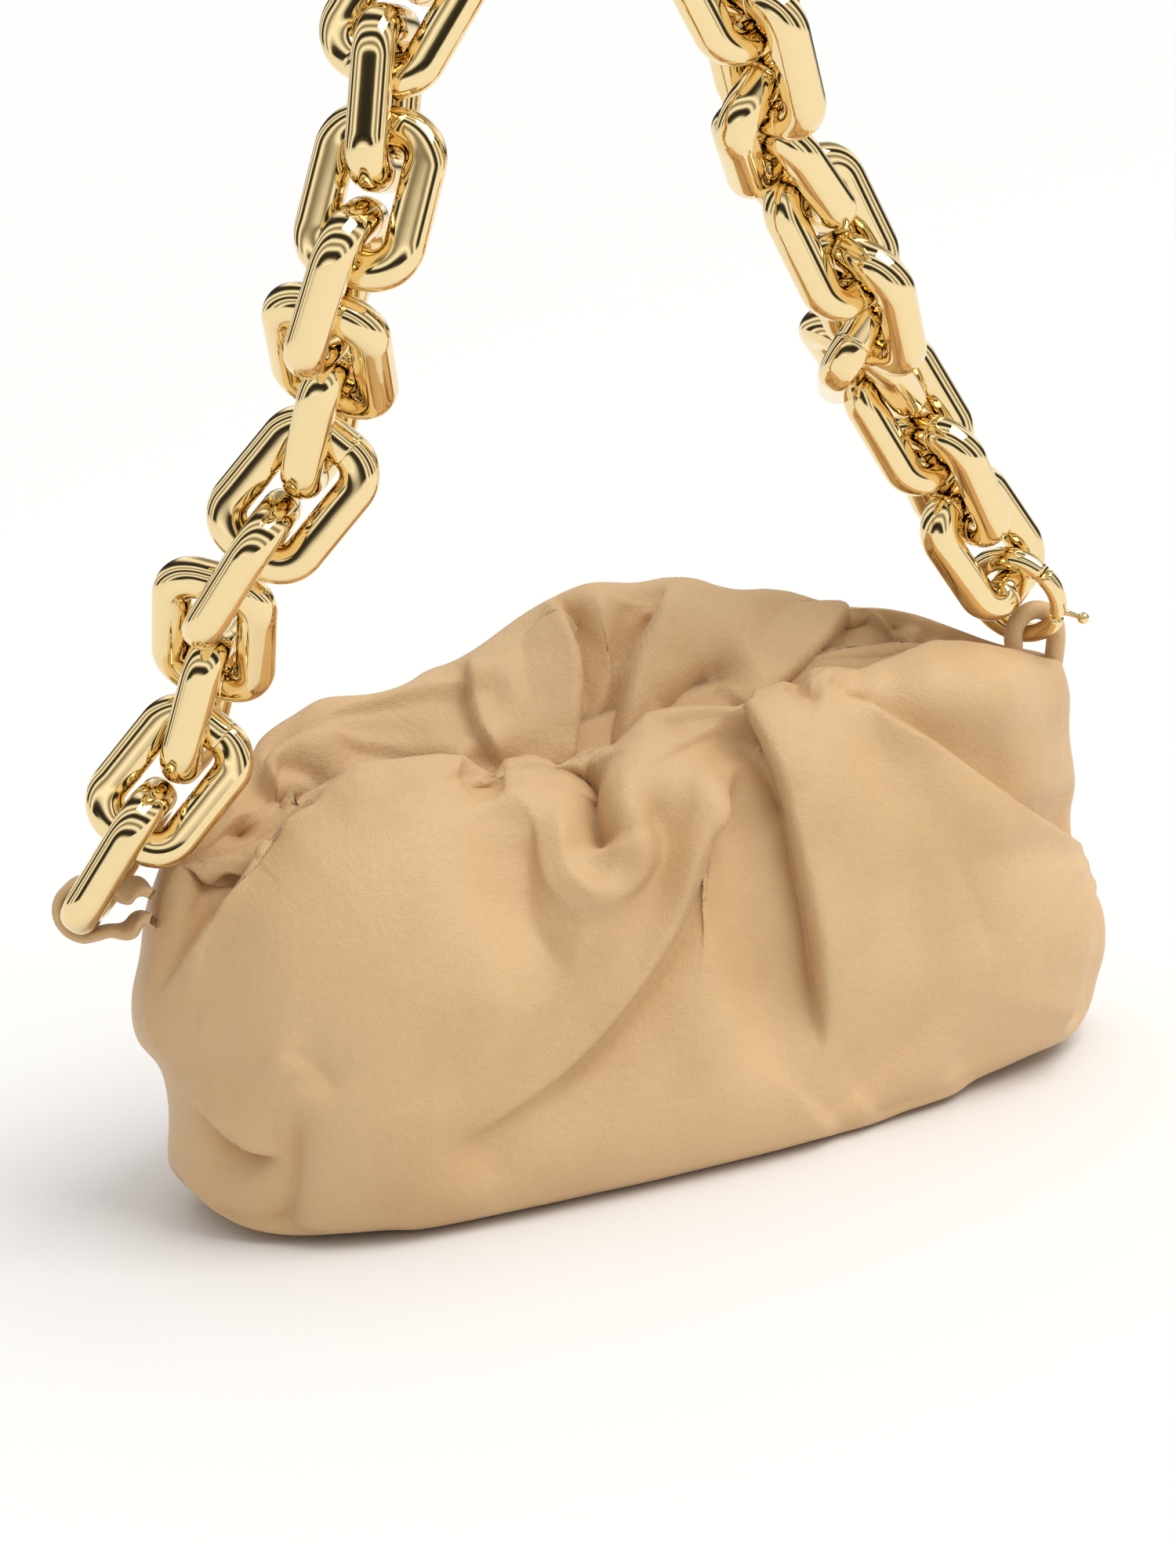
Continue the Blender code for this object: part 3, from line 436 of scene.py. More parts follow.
def suede():
    """Napped lining: a soft mottle and a short pile that catches light at the edges."""
    mat, tree, shader = new_material("suede_lining", SUEDE_COLOUR, 0.92)
    link = tree.links.new
    place = texture_place(tree)
    nap = node(tree, "ShaderNodeTexNoise", Scale=900.0, Detail=3.0)
    patches = node(tree, "ShaderNodeTexNoise", Scale=40.0, Detail=3.0)
    link(place, nap.inputs["Vector"])
    link(place, patches.inputs["Vector"])
    colour = ramp(tree, ((0.3, SUEDE_DARK), (0.7, SUEDE_LIGHT)), patches.outputs["Fac"])
    link(colour, shader.inputs["Base Color"])
    emboss(tree, shader, nap.outputs["Fac"], 0.4, 0.0003)
    shader.inputs["Sheen Weight"].default_value = 0.5
    return mat


def gold():
    """Mirror-polished gold plate: faint polishing waves and hair marks under a hard shine."""
    mat, tree, shader = new_material("polished_gold", GOLD_COLOUR, 0.045, 1.0)
    link = tree.links.new
    place = texture_place(tree)
    waves = node(tree, "ShaderNodeTexNoise", Scale=60.0, Detail=2.0)
    haze = node(tree, "ShaderNodeTexNoise", Scale=260.0, Detail=5.0, Roughness=0.7)
    link(place, waves.inputs["Vector"])
    link(place, haze.inputs["Vector"])
    vary_roughness(tree, shader, haze.outputs["Fac"], GOLD_ROUGHNESS, GOLD_HAZE)
    emboss(tree, shader, waves.outputs["Fac"], 0.10, 0.0006)
    return mat


def steel():
    """Plain spring steel with fine drawing lines along the mouth."""
    mat, tree, shader = new_material("frame_steel", STEEL_COLOUR, 0.34, 1.0)
    link = tree.links.new
    place = texture_place(tree)
    stretch = node(tree, "ShaderNodeMapping")
    stretch.inputs["Scale"].default_value = STEEL_LINES
    lines = node(tree, "ShaderNodeTexNoise", Scale=1.0, Detail=3.0)
    link(place, stretch.inputs["Vector"])
    link(stretch.outputs["Vector"], lines.inputs["Vector"])
    vary_roughness(tree, shader, lines.outputs["Fac"], STEEL_ROUGHNESS)
    return mat


# Pouch


def pouch_sections(half, count):
    """Control points of the sections: places along the pouch follow half a cosine, so both ends are round.

    A section goes from the seam underneath, out and up the wall, over the brow and down into the slit.
    The top corners are drawn in by the square of the height above a share of the rim's.
    """
    t = np.linspace(0, 1, count)
    share = (1 - np.cos(np.pi * t)) / 2
    table = np.array(POUCH_STATION_SHARES)
    knots = np.arccos(1 - 2 * table[:, 0]) / np.pi
    places = np.interp(t, knots, np.arange(len(knots)))
    front, back, rise, lobe, lift = curve_through(table[:, 1:], places).T
    depth = np.maximum(front * FRONT_DEPTH if half == "front" else back * BACK_DEPTH, 0)
    lip = rise * FRONT_RISE - LIP_DROP
    top = rise * FRONT_RISE + (np.maximum(lobe, 0) * (BACK_RISE - FRONT_RISE) if half == "back" else 0)
    low = np.maximum(lift, 0) * FRONT_RISE
    shares = np.array(FRONT_SECTION_SHARES if half == "front" else BACK_SECTION_SHARES)
    wall = np.stack([depth[:, None] * shares[:, 0], low[:, None] + (top - low)[:, None] * shares[:, 1]], -1)
    side = 2 * share - 1
    x_rim = pouch_x(side, lip)
    fade = 1 - smooth_step(np.abs(x_rim), MOUTH_HALF_LENGTH, MOUTH_HALF_LENGTH + MOUTH_TAPER)
    slit = np.minimum(MOUTH_HALF_GAP * fade, depth * SLIT_DEPTH_SHARE)
    edge = np.stack([np.minimum(slit + LEATHER, depth * EDGE_DEPTH_SHARE), lip], -1)
    fall = edge - wall[:, -1]
    bulge = np.stack([fall[:, 1], -fall[:, 0]], -1) * BROW_BULGE_SHARE
    brow = [wall[:, -1] + t * fall + 4 * t * (1 - t) * bulge for t in BROW_PLACES]
    flap = [np.stack([slit, lip - drop * FLAP_DEPTH], -1) for drop in FLAP_DROPS]
    section = np.concatenate([wall, np.stack(brow + [edge] + flap, 1)], 1)
    sign = -1.0 if half == "front" else 1.0
    x = pouch_x(side[:, None], section[..., 1])
    return np.stack([x, SEAM_Y + sign * section[..., 0], section[..., 1]], -1), share


def pouch_x(side, height):
    high = np.maximum(height / FRONT_RISE - PULL_START_SHARE, 0)
    pull = np.where(side < 0, PULL_LEFT, PULL_RIGHT)
    return POUCH_CENTRE_X + side * (POUCH_LENGTH / 2 - pull * high ** 2 * np.abs(side))


def broad_folds(half, share, places):
    """Depth of the broad folds: a bell of the distance to the nearest of a fold's straight runs."""
    girth = FRONT_DEPTH + FRONT_RISE
    past_rim = (places - RIM_PLACE) / (EDGE_PLACE - RIM_PLACE)
    up = np.where(places < RIM_PLACE, places / RIM_PLACE, 1 + past_rim * (1 - FOLD_FULL_SHARE))
    up = np.minimum(up, 2 - FOLD_FULL_SHARE)
    here = np.stack(np.meshgrid(share * POUCH_LENGTH, up * girth, indexing="ij"), -1)
    depth = np.zeros(here.shape[:2])
    for deep, *knots in FRONT_FOLD_SHARES if half == "front" else BACK_FOLD_SHARES:
        knots = np.array(knots) * (POUCH_LENGTH, girth)
        away = np.full(depth.shape, np.inf)
        for start, end in zip(knots[:-1], knots[1:]):
            run = end - start
            t = np.clip((here - start) @ run / (run @ run), 0, 1)
            away = np.minimum(away, np.linalg.norm(here - start - t[..., None] * run, axis=-1))
        depth = np.maximum(depth, deep * FOLD_DEPTH * np.exp(-((away / FOLD_HALF_WIDTH) ** 2)))
    return depth * smooth_step(up, FOLD_START_SHARE, FOLD_FULL_SHARE)


def surface_normals(points, sign):
    across = np.cross(np.gradient(points, axis=0), np.gradient(points, axis=1))
    length = np.linalg.norm(across, axis=-1, keepdims=True)
    return sign * across / np.maximum(length, TINY_LENGTH)


def nearest_on_line(pixels, line):
    """Distance to a smooth line, positive right of one drawn down, how far along and which way across."""
    line = curve_through(np.array(line, float), np.linspace(0, len(line) - 1, LINE_STEPS * len(line)))
    start, step = line[:-1], np.diff(line, axis=0)
    best = np.full(len(pixels), np.inf)
    signed, along, across = np.zeros(len(pixels)), np.zeros(len(pixels)), np.zeros((len(pixels), 2))
    length = np.linalg.norm(step, axis=1)
    before = np.concatenate([[0], np.cumsum(length)])
    for k in range(len(step)):
        away = pixels - start[k]
        t = np.clip(away @ step[k] / length[k] ** 2, 0, 1)
        distance = np.linalg.norm(away - t[:, None] * step[k], axis=1)
        near = distance < best
        right = np.array([step[k][1], -step[k][0]]) / length[k]
        signed[near] = (distance * np.sign(away @ right))[near]
        along[near] = ((before[k] + t * length[k]) / before[-1])[near]
        across[near] = right
        best[near] = distance[near]
    return signed, along, across


def taper(along, start, end):
    """Full in the middle of a line, dying out over a share of it at each end."""
    grows = smooth_step(along, -TINY_SHARE, max(start, TINY_SHARE))
    return grows * (1 - smooth_step(along, 1 - max(end, TINY_SHARE), 1 + TINY_SHARE))


# Folds, each along a line of pixels in the photograph's frame. Left and right are the picture's for a line
# that is drawn downwards, and swapped for one that is drawn upwards.
# A crease: line, depth in mm (negative: raised), width of its shoulders in pixels left and right,
# fade at each end.
# A pleat: line, raised side (-1 left, 1 right), rise in mm, its reach in pixels, drop, its reach,
# sideways lap in mm, fade at each end.
# A ridge: line, height in mm, width in pixels, fade at each end.
FRONT_CREASES = (
    (((680, 1010), (676, 1090), (680, 1162), (702, 1218), (742, 1262)), 6.0, 60, 30, 0.30, 0.55),
    (((744, 962), (750, 1012), (772, 1085)), 11.0, 14, 18, 0.0, 0.15),
    (((816, 985), (843, 1045), (846, 1095), (808, 1140), (742, 1160)), 3.5, 22, 24, 0.3, 0.35),
    (((262, 1082), (250, 1140), (222, 1215)), 3.5, 22, 22, 0.1, 0.5),
    (((318, 1080), (285, 1110), (246, 1122)), 3.5, 14, 20, 0.1, 0.4),
    (((212, 1112), (202, 1170), (184, 1230)), 2.5, 18, 18, 0.1, 0.4),
    (((150, 1300), (200, 1314), (262, 1340)), 3.5, 26, 26, 0.0, 0.4),
    (((374, 1395), (374, 1450), (371, 1500), (366, 1545), (356, 1590)), 5.0, 44, 15, 0.40, 0.1),
    (((346, 1335), (383, 1349), (412, 1375), (433, 1418)), 2.4, 34, 34, 0.35, 0.4),
    (((1206, 1245), (1147, 1343), (1050, 1440)), 2.6, 50, 30, 0.4, 0.1),
    (((1300, 1295), (1201, 1386), (1115, 1440)), 2.0, 36, 26, 0.4, 0.1),
    (((1201, 1075), (1244, 1145), (1268, 1240)), 1.6, 46, 34, 0.4, 0.4),
    (((600, 968), (618, 995), (634, 1022)), 5.0, 26, 20, 0.0, 0.35),
    (((1012, 868), (1024, 882), (1052, 890)), 4.0, 16, 18, 0.0, 0.4),
    (((1062, 862), (1080, 880), (1120, 892)), 3.0, 14, 16, 0.0, 0.5),
    (((925, 925), (961, 962), (1000, 1025), (1010, 1045)), 3.0, 26, 14, 0.1, 0.2),
    (((560, 1330), (590, 1390), (596, 1440)), 1.2, 60, 50, 0.5, 0.5),
)
FRONT_PLEATS = (
    (((955, 900), (983, 951), (1006, 1012), (1017, 1062), (1034, 1135), (1047, 1201), (1053, 1274),
      (1050, 1352)),
     1, 4.5, 90, 8.5, 50, 4.0, 0.02, 0.25),
    (((944, 952), (922, 1045), (894, 1107), (861, 1190), (783, 1302), (699, 1385), (560, 1480)),
     -1, 4.5, 80, 5.5, 60, 1.0, 0.14, 0.50),
    (((1056, 866), (1121, 909), (1185, 952), (1260, 1011), (1335, 1053), (1400, 1102)),
     -1, 3.0, 60, 5.0, 55, 1.8, 0.20, 0.05),
    (((419, 1010), (350, 1070), (296, 1143), (227, 1234), (160, 1315)),
     1, 5.0, 60, 6.0, 60, 2.2, 0.2, 0.05),
    (((1395, 1090), (1390, 1161), (1378, 1236), (1358, 1320)), -1, 2.5, 60, 3.0, 40, 1.0, 0.15, 0.15),
    (((192, 1335), (208, 1356), (236, 1398), (296, 1456), (334, 1480), (360, 1480)),
     1, 2.0, 60, 9.0, 32, 2.0, 0.10, 0.25),
)
FRONT_RIDGES = (
    (((725, 1010), (712, 1060), (718, 1110), (750, 1140), (790, 1135), (808, 1100), (800, 1030), (790, 985)),
     3.6, 22, 0.2, 0.2),
    (((870, 930), (890, 990), (880, 1080), (840, 1180)), 2.6, 36, 0.3, 0.4),
    (((1090, 900), (1160, 960), (1240, 1030), (1320, 1090)), 2.6, 34, 0.3, 0.2),
    (((345, 1330), (365, 1350), (385, 1385)), 1.6, 30, 0.4, 0.4),
    (((299, 1064), (255, 1078), (218, 1100), (188, 1150)), 2.6, 15, 0.2, 0.3),
    (((1130, 870), (1230, 870), (1330, 900)), 3.0, 60, 0.3, 0.3),
)
BACK_CREASES = (
    (((866, 920), (894, 884), (922, 858), (958, 846)), 8.0, 18, 26, 0.0, 0.3),
    (((560, 985), (605, 951), (655, 967)), -4.0, 30, 30, 0.3, 0.3),
    (((300, 1000), (350, 1008), (412, 1030)), 6.0, 30, 18, 0.2, 0.1),
    (((296, 1046), (314, 1064), (330, 1090)), 6.0, 14, 14, 0.1, 0.1),
    (((410, 930), (470, 948), (520, 962), (556, 988)), 5.0, 44, 22, 0.4, 0.0),
    (((330, 960), (390, 975), (440, 1010)), 4.0, 26, 20, 0.3, 0.1),
    (((1148, 772), (1140, 808), (1130, 845)), 4.5, 16, 22, 0.05, 0.05),
    (((1196, 785), (1182, 812), (1165, 840)), 3.5, 14, 18, 0.05, 0.05),
    (((1236, 795), (1216, 815), (1196, 838)), 4.5, 16, 20, 0.05, 0.05),
    (((1275, 808), (1262, 822), (1250, 836)), 3.0, 12, 14, 0.05, 0.05),
)
BACK_PLEATS = (
    (((700, 755), (724, 800), (740, 850), (737, 923), (725, 985)), -1, 4.0, 50, 9.0, 36, 2.5, 0.10, 0.0),
    (((852, 738), (838, 785), (816, 828), (802, 895), (786, 960)), 1, 3.5, 60, 9.0, 34, 2.5, 0.20, 0.0),
    (((1090, 762), (1056, 812), (1005, 866), (945, 912)), -1, 4.0, 50, 7.0, 40, 3.0, 0.02, 0.05),
    (((598, 840), (600, 880), (610, 930), (640, 985)), 1, 3.0, 50, 4.0, 40, 1.5, 0.10, 0.2),
)
# Outline of the pouch: a pixel of the plain loft and where the gathered leather has it
OUTLINE_SHIFTS = (
    (185, 1180, 181, 1185), (200, 1076, 212, 1078), (277, 993, 296, 1000), (359, 931, 347, 924),
    (455, 899, 432, 880), (541, 884, 523, 862), (591, 836, 594, 840), (716, 758, 715, 757),
    (790, 751, 790, 744), (865, 755, 869, 731), (945, 755, 946, 752), (1024, 774, 1032, 761),
    (1134, 770, 1132, 772), (1245, 798, 1238, 804), (1356, 853, 1359, 851), (1386, 963, 1370, 969),
    (1400, 1072, 1364, 1064), (1403, 1180, 1412, 1185), (1392, 1286, 1385, 1284), (1308, 1369, 1277, 1357),
    (1184, 1407, 1178, 1404), (1089, 1431, 1091, 1433), (953, 1462, 958, 1464), (844, 1488, 848, 1490),
    (731, 1517, 726, 1519), (640, 1540, 636, 1541), (573, 1555, 567, 1557), (457, 1576, 464, 1568),
    (321, 1573, 324, 1571), (220, 1509, 226, 1507), (192, 1398, 212, 1392), (184, 1287, 164, 1297),
    (790, 1180, 790, 1180),
)
OUTLINE_BLUR = 60.0
# Edge of the mouth: a pixel along it and how far the gathered edge hangs below the plain one there
RIM_DROPS = (
    (300, 0), (402, -6), (456, -20), (501, -15), (560, -11), (593, -3), (607, 11), (630, 29), (644, 11),
    (677, 13), (699, 25), (712, 37), (744, 27), (783, 31), (800, 19), (822, 3), (855, 6), (883, 11),
    (914, 19), (939, 27), (956, 25), (961, 11), (1000, 12), (1022, 25), (1034, 6), (1061, 12),
    (1095, 20), (1120, 13), (1158, 5), (1260, 0), (1360, 0),
)
# How far the roll behind the mouth hangs down over its own rim, in pixels, and forward of it
ROLL_HANG = 78.0
ROLL_FORWARD = 0.0060
CREASE_ROUND = 3.0
LAP_WIDTH = 2.2
PIXELS_PER_MM = 4.4
# All depths and heights of the folds are multiplied by this
FOLD_GAIN = 1.3
# How far out a fold and a ridge are followed, in their own widths
FOLD_TAIL = 5
RIDGE_TAIL = 4
# Reach of a pleat's sideways lap, as a share of its raised side's
LAP_REACH_SHARE = 0.25


def across_picture(points, shift):
    """Points moved across the picture by a number of pixels, at the depth where they are."""
    right, up, forward = camera_axes()
    size = ((points - EYE) @ forward / FOCAL_PIXELS)[:, None]
    return points + size * (shift[:, :1] * right - shift[:, 1:] * up)


def on_floor(points):
    """Points, with those under the floor brought back to it along their line of sight."""
    under = np.minimum(points[:, 2], 0)
    return EYE + (points - EYE) * (EYE[2] / (EYE[2] - under))[:, None]


def outline_moves(pixels):
    """Mean of the outline's shifts, each weighted by the inverse fourth power of its distance."""
    table = np.array(OUTLINE_SHIFTS, float)
    away = ((pixels[:, None] - table[:, :2]) ** 2).sum(-1) + OUTLINE_BLUR ** 2
    weight = away ** -2
    return weight @ (table[:, 2:] - table[:, :2]) / weight.sum(1, keepdims=True)


def near_pixels(pixels, line, reach):
    line = np.array(line, float)
    low, high = line.min(0) - reach, line.max(0) + reach
    return np.flatnonzero(((pixels > low) & (pixels < high)).all(1))


def fold_moves(pixels, creases, pleats, ridges):
    """Height of the folds at each pixel, in metres, and their sideways lap across the picture, in mm.

    A crease falls as an exponential of the rounded distance from its line.  A pleat steps from its drop
    to its rise over a narrow width, and its raised side laps over the other.  A ridge is a bell.
    """
    height = np.zeros(len(pixels))
    lap = np.zeros((len(pixels), 2))
    for line, depth, left, right, start, end in creases:
        at = near_pixels(pixels, line, FOLD_TAIL * max(left, right))
        distance, along, _ = nearest_on_line(pixels[at], line)
        reach = np.where(distance < 0, left, right)
        away = np.sqrt(distance ** 2 + CREASE_ROUND ** 2) - CREASE_ROUND
        height[at] -= FOLD_GAIN * depth * MM * np.exp(-away / reach) * taper(along, start, end)
    for line, raised, rise, high_reach, drop, low_reach, shift, start, end in pleats:
        at = near_pixels(pixels, line, FOLD_TAIL * max(high_reach, low_reach))
        distance, along, across = nearest_on_line(pixels[at], line)
        distance = distance * raised
        step = 1 / (1 + np.exp(-distance / LAP_WIDTH))
        up = rise * np.exp(-np.abs(distance) / high_reach)
        down = -drop * np.exp(-np.abs(distance) / low_reach)
        full = taper(along, start, end)
        height[at] += FOLD_GAIN * (step * up + (1 - step) * down) * MM * full
        near = np.exp(-np.abs(distance) / (LAP_REACH_SHARE * high_reach))
        push = -raised * shift * full * step * near
        lap[at] += push[:, None] * across
    for line, rise, width, start, end in ridges:
        at = near_pixels(pixels, line, RIDGE_TAIL * width)
        distance, along, _ = nearest_on_line(pixels[at], line)
        height[at] += FOLD_GAIN * rise * MM * np.exp(-((distance / width) ** 2)) * taper(along, start, end)
    return height, lap


def pouch_half(half, mat):
    """Half of the pouch: a loft through its sections, folded along its normals and lapped across them."""
    sections, share = pouch_sections(half, POUCH_GRID[0])
    places = even_places(sections[POUCH_GRID[0] // 2], POUCH_GRID[1])
    points = curve_through(sections, places)
    sign = 1.0 if half == "front" else -1.0
    normals = surface_normals(points, sign)
    room = np.abs(points[..., 1] - SEAM_Y) - 2 * LEATHER
    drawn = np.minimum(broad_folds(half, share, places), FOLD_LIMIT_SHARE * np.maximum(room, 0))
    points = points - drawn[..., None] * normals
    flat = points.reshape(-1, 3)
    flat = across_picture(flat, outline_moves(picture_place(flat)))
    if half == "front":
        drop = np.interp(picture_place(flat)[:, 0], *np.array(RIM_DROPS, float).T)
        drop = drop * np.tile(smooth_step(places, *EDGE_DROP_PLACES), len(share))
    else:
        fade = smooth_step(np.minimum(share, 1 - share), *HANG_ENDS)
        hang = smooth_step(places, *HANG_GROWS) * (1 - smooth_step(places, *HANG_FADES))
        hang = (fade[:, None] * hang).ravel()
        flat[:, 1] -= ROLL_FORWARD * hang
        drop = ROLL_HANG * hang
    flat = across_picture(flat, np.stack([0 * drop, drop], 1))
    normals = surface_normals(flat.reshape(points.shape), sign).reshape(-1, 3)
    facing = smooth_step((normals * unit(EYE - flat)).sum(-1), *FACING_COSINES)
    ends = np.repeat(smooth_step(np.minimum(share, 1 - share), *FOLD_ENDS), len(places))
    inside = np.tile(1 - smooth_step(places, *FOLDS_FADE), len(share))
    hidden = np.tile(smooth_step(places, *BACK_FOLDS_GROW), len(share)) if half == "back" else 1.0
    if half == "front":
        tables = (FRONT_CREASES, FRONT_PLEATS, FRONT_RIDGES)
    else:
        tables = (BACK_CREASES, BACK_PLEATS, ())
    height, lap = fold_moves(picture_place(flat), *tables)
    show = facing * ends * inside * hidden
    flat = flat + (height * show)[:, None] * normals
    flat = across_picture(flat, lap * show[:, None] * PIXELS_PER_MM)
    points = on_floor(flat).reshape(points.shape)
    obj = grid_object("pouch_" + half, points, mat, flip=(half != "front"))
    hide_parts("leather_" + half)
    return obj


def lining_half(half, mat):
    """Half of the lining: a plain sack inside the wall, hung from the flap, as two layers.

    Its section is the wall's, with its depth scaled down and its height cut off under the flap.
    """
    sections, _ = pouch_sections(half, LINING_GRID[0])
    wall = sections[:, :RIM_PLACE + 1]
    depth = np.abs(wall[..., 1] - SEAM_Y)
    low, high = wall[:, :1, 2], sections[:, EDGE_PLACE:EDGE_PLACE + 1, 2] - FLAP_DEPTH
    rise = (wall[..., 2] - low) / (wall[:, -1:, 2] - low)
    layers = []
    for inset in (0.0, LINING_THICK):
        reach = np.maximum(depth * LINING_SHARE - inset, 0)
        neck = smooth_step(rise, LINING_NECK_START, 1.0) * LINING_NECK_SHARE
        height = low + LINING_LIFT + inset + rise * (high - low - LINING_LIFT - inset)
        side = -1.0 if half == "front" else 1.0
        x = POUCH_CENTRE_X + (wall[..., 0] - POUCH_CENTRE_X) * LINING_LENGTH_SHARE
        layers.append(np.stack([x, SEAM_Y + side * reach * (1 - neck), height], -1))
    up = np.linspace(0, RIM_PLACE, LINING_GRID[1])
    sack = [curve_through(layer, up) for layer in layers]
    points = np.concatenate([sack[0], sack[1][:, ::-1]], 1)
    obj = grid_object("suede_lining_" + half, points, mat, close_v=True, flip=(half != "front"))
    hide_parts("lining_" + half)
    return obj


# Strap


def link_frame(name):
    """Middle of a link, the way it runs and the way across it, from the spread of its solid's points."""
    mesh = frame["nodes"][name].data
    points = np.empty(3 * len(mesh.vertices))
    mesh.vertices.foreach_get("co", points)
    points = points.reshape(-1, 3)
    middle = points.mean(0)
    _, _, axes = np.linalg.svd(points - middle, full_matrices=False)
    along = axes[0] * (1 if axes[0][2] > 0 else -1)
    return middle, along, axes[1]


def rounded_path(count):
    """Middle line of a link, bars joined by quarter circles, its way outwards and its seams' nicks."""
    half_width, half_length = (LINK_WIDTH - LINK_BAR) / 2, (LINK_LENGTH - LINK_BAR) / 2
    long_run, short_run = 2 * (half_length - LINK_CORNER), 2 * (half_width - LINK_CORNER)
    arc = LINK_CORNER * np.pi / 2
    marks = np.cumsum([0, long_run / 2, arc, short_run, arc, long_run, arc, short_run, arc, long_run / 2])
    seams = (marks[2], marks[7])
    near = [s + SEAM_WIDTH * k for s in seams for k in SEAM_PLACES]
    place = np.unique(np.concatenate([np.linspace(0, marks[-1], count + 1)[:-1], near]))
    turn = sum(np.clip((place - marks[k]) / arc, 0, 1) for k in (1, 3, 5, 7)) * np.pi / 2
    out = np.stack([np.cos(turn), np.sin(turn)], 1)
    centre_x = half_width - LINK_CORNER
    centre_y = half_length - LINK_CORNER
    x = np.interp(place, marks, np.array([1, 1, 1, -1, -1, -1, -1, 1, 1, 1]) * centre_x)
    y = np.interp(place, marks, np.array([0, 1, 1, 1, 1, -1, -1, -1, -1, 0]) * centre_y)
    groove = sum(np.exp(-(((place - s) / SEAM_WIDTH) ** 2)) for s in seams)
    return np.stack([x, y], 1) + LINK_CORNER * out, out, groove


def link_points(middle, along, across):
    """A link: a nearly round section carried round a rounded rectangle, nicked at its closing seams."""
    path, out, groove = rounded_path(LINK_GRID[0])
    angle = 2 * np.pi * np.arange(LINK_GRID[1]) / LINK_GRID[1]
    power = 2 / LINK_SQUARENESS
    c = np.sign(np.cos(angle)) * np.abs(np.cos(angle)) ** power
    s = np.sign(np.sin(angle)) * np.abs(np.sin(angle)) ** power
    radius = (LINK_BAR / 2 * LINK_SLIM_SHARE - SEAM_DEPTH * groove)[:, None]
    flat = path[:, None, :] + (radius * c)[..., None] * out[:, None, :]
    deep = radius * s
    normal = np.cross(across, along)
    return middle + flat[..., :1] * across + flat[..., 1:] * along + deep[..., None] * normal


def make_links(mat):
    frames = {}
    for number in range(1, LINK_COUNT + 1):
        name = f"link_{number:02d}"
        frames[name] = link_frame(name)
        obj = grid_object("polished_" + name, link_points(*frames[name]), mat, True, True, flip=True)
        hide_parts(name)
        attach(obj, name)
    return frames


# Clasp


def joint_place(name):
    found = [j for j in frame["joints"] if j["name"] == name][0]
    return np.array(found["pos_m"])


def ring_frame():
    """Centre of the ring, its up and side directions and its axis."""
    up = np.array([-math.sin(RING_LEAN), 0.0, math.cos(RING_LEAN)])
    axis = np.array([math.cos(RING_TURN), math.sin(RING_TURN), 0.0])
    axis = unit(axis - up * (axis @ up))
    centre = joint_place("ring_turn") - (RING_RADIUS - RING_WIRE / 2 - GAP - LINK_BAR / 2) * up
    return centre, up, -np.cross(up, axis), axis


def ring_wire(angle):
    thin = 0.5 + 0.5 * np.cos(angle - GATE_END)
    return RING_WIRE / 2 * (1 - (1 - RING_THIN_SHARE) * thin ** 2)


def ring_arc(start, end, grid):
    """A stretch of the ring: circles of the wire's radius in planes through its axis, closed by domes."""
    centre, up, side, axis = ring_frame()
    angle = np.linspace(start, end, grid[0])
    inset = np.minimum(angle - start, end - angle) * RING_RADIUS / (DOME_SHARE * RING_WIRE)
    dome = np.sqrt(1 - (1 - np.clip(inset, 0, 1)) ** 2)
    wire = ring_wire(angle) * dome
    out = np.cos(angle)[:, None] * up + np.sin(angle)[:, None] * side
    turn = 2 * np.pi * np.arange(grid[1]) / grid[1]
    section = np.cos(turn)[None, :, None] * out[:, None, :] + np.sin(turn)[None, :, None] * axis
    return centre + RING_RADIUS * out[:, None, :] + wire[:, None, None] * section


def turned_points(profile, start, axis, count):
    """A turned piece: a profile of distances along an axis and radii, carried round it."""
    axis = unit(axis)
    side = unit(np.cross(axis, (0, 0, 1) if abs(axis[2]) < 0.9 else (1, 0, 0)))
    other = np.cross(axis, side)
    turn = 2 * np.pi * np.arange(count) / count
    circle = np.cos(turn)[:, None] * side + np.sin(turn)[:, None] * other
    profile = np.array(profile)
    return start + profile[:, :1, None] * axis + profile[:, 1:, None] * circle


def make_clasp(mat):
    centre, up, side, _ = ring_frame()
    gap_turn = GAP / RING_RADIUS
    body_wire = ring_arc(GATE_END + gap_turn, GATE_START + 2 * np.pi, RING_GRID)
    gate_wire = ring_arc(GATE_START + gap_turn, GATE_END, GATE_GRID)
    body = grid_object("clasp_ring", body_wire, mat, close_v=True)
    gate = grid_object("clasp_gate", gate_wire, mat, close_v=True)
    angle = GATE_END - LEVER_INSET / RING_RADIUS
    out = math.cos(angle) * up + math.sin(angle) * side
    root = centre + (RING_RADIUS + ring_wire(angle) - GAP) * out
    neck = np.linspace(0, LEVER_LENGTH, LEVER_STEPS)
    stem = [(d, LEVER_RADIUS * (1 + LEVER_FLARE_SHARE * math.exp(-d / LEVER_RADIUS))) for d in neck]
    around = np.linspace(BALL_START, np.pi, BALL_STEPS)
    ball = [(LEVER_LENGTH + BALL_RADIUS * (math.cos(BALL_START) - math.cos(a)), BALL_RADIUS * math.sin(a))
            for a in around]
    turned = turned_points([(0, 0)] + stem + ball, root, out, LEVER_SIDES)
    lever = grid_object("clasp_lever", turned, mat, close_v=True)
    bodies = ((body, "ring_body", "ring"), (gate, "ring_gate", "gate"), (lever, "gate_lever", "gate"))
    for obj, name, body_name in bodies:
        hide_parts(name)
        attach(obj, body_name)


# Leather end loops


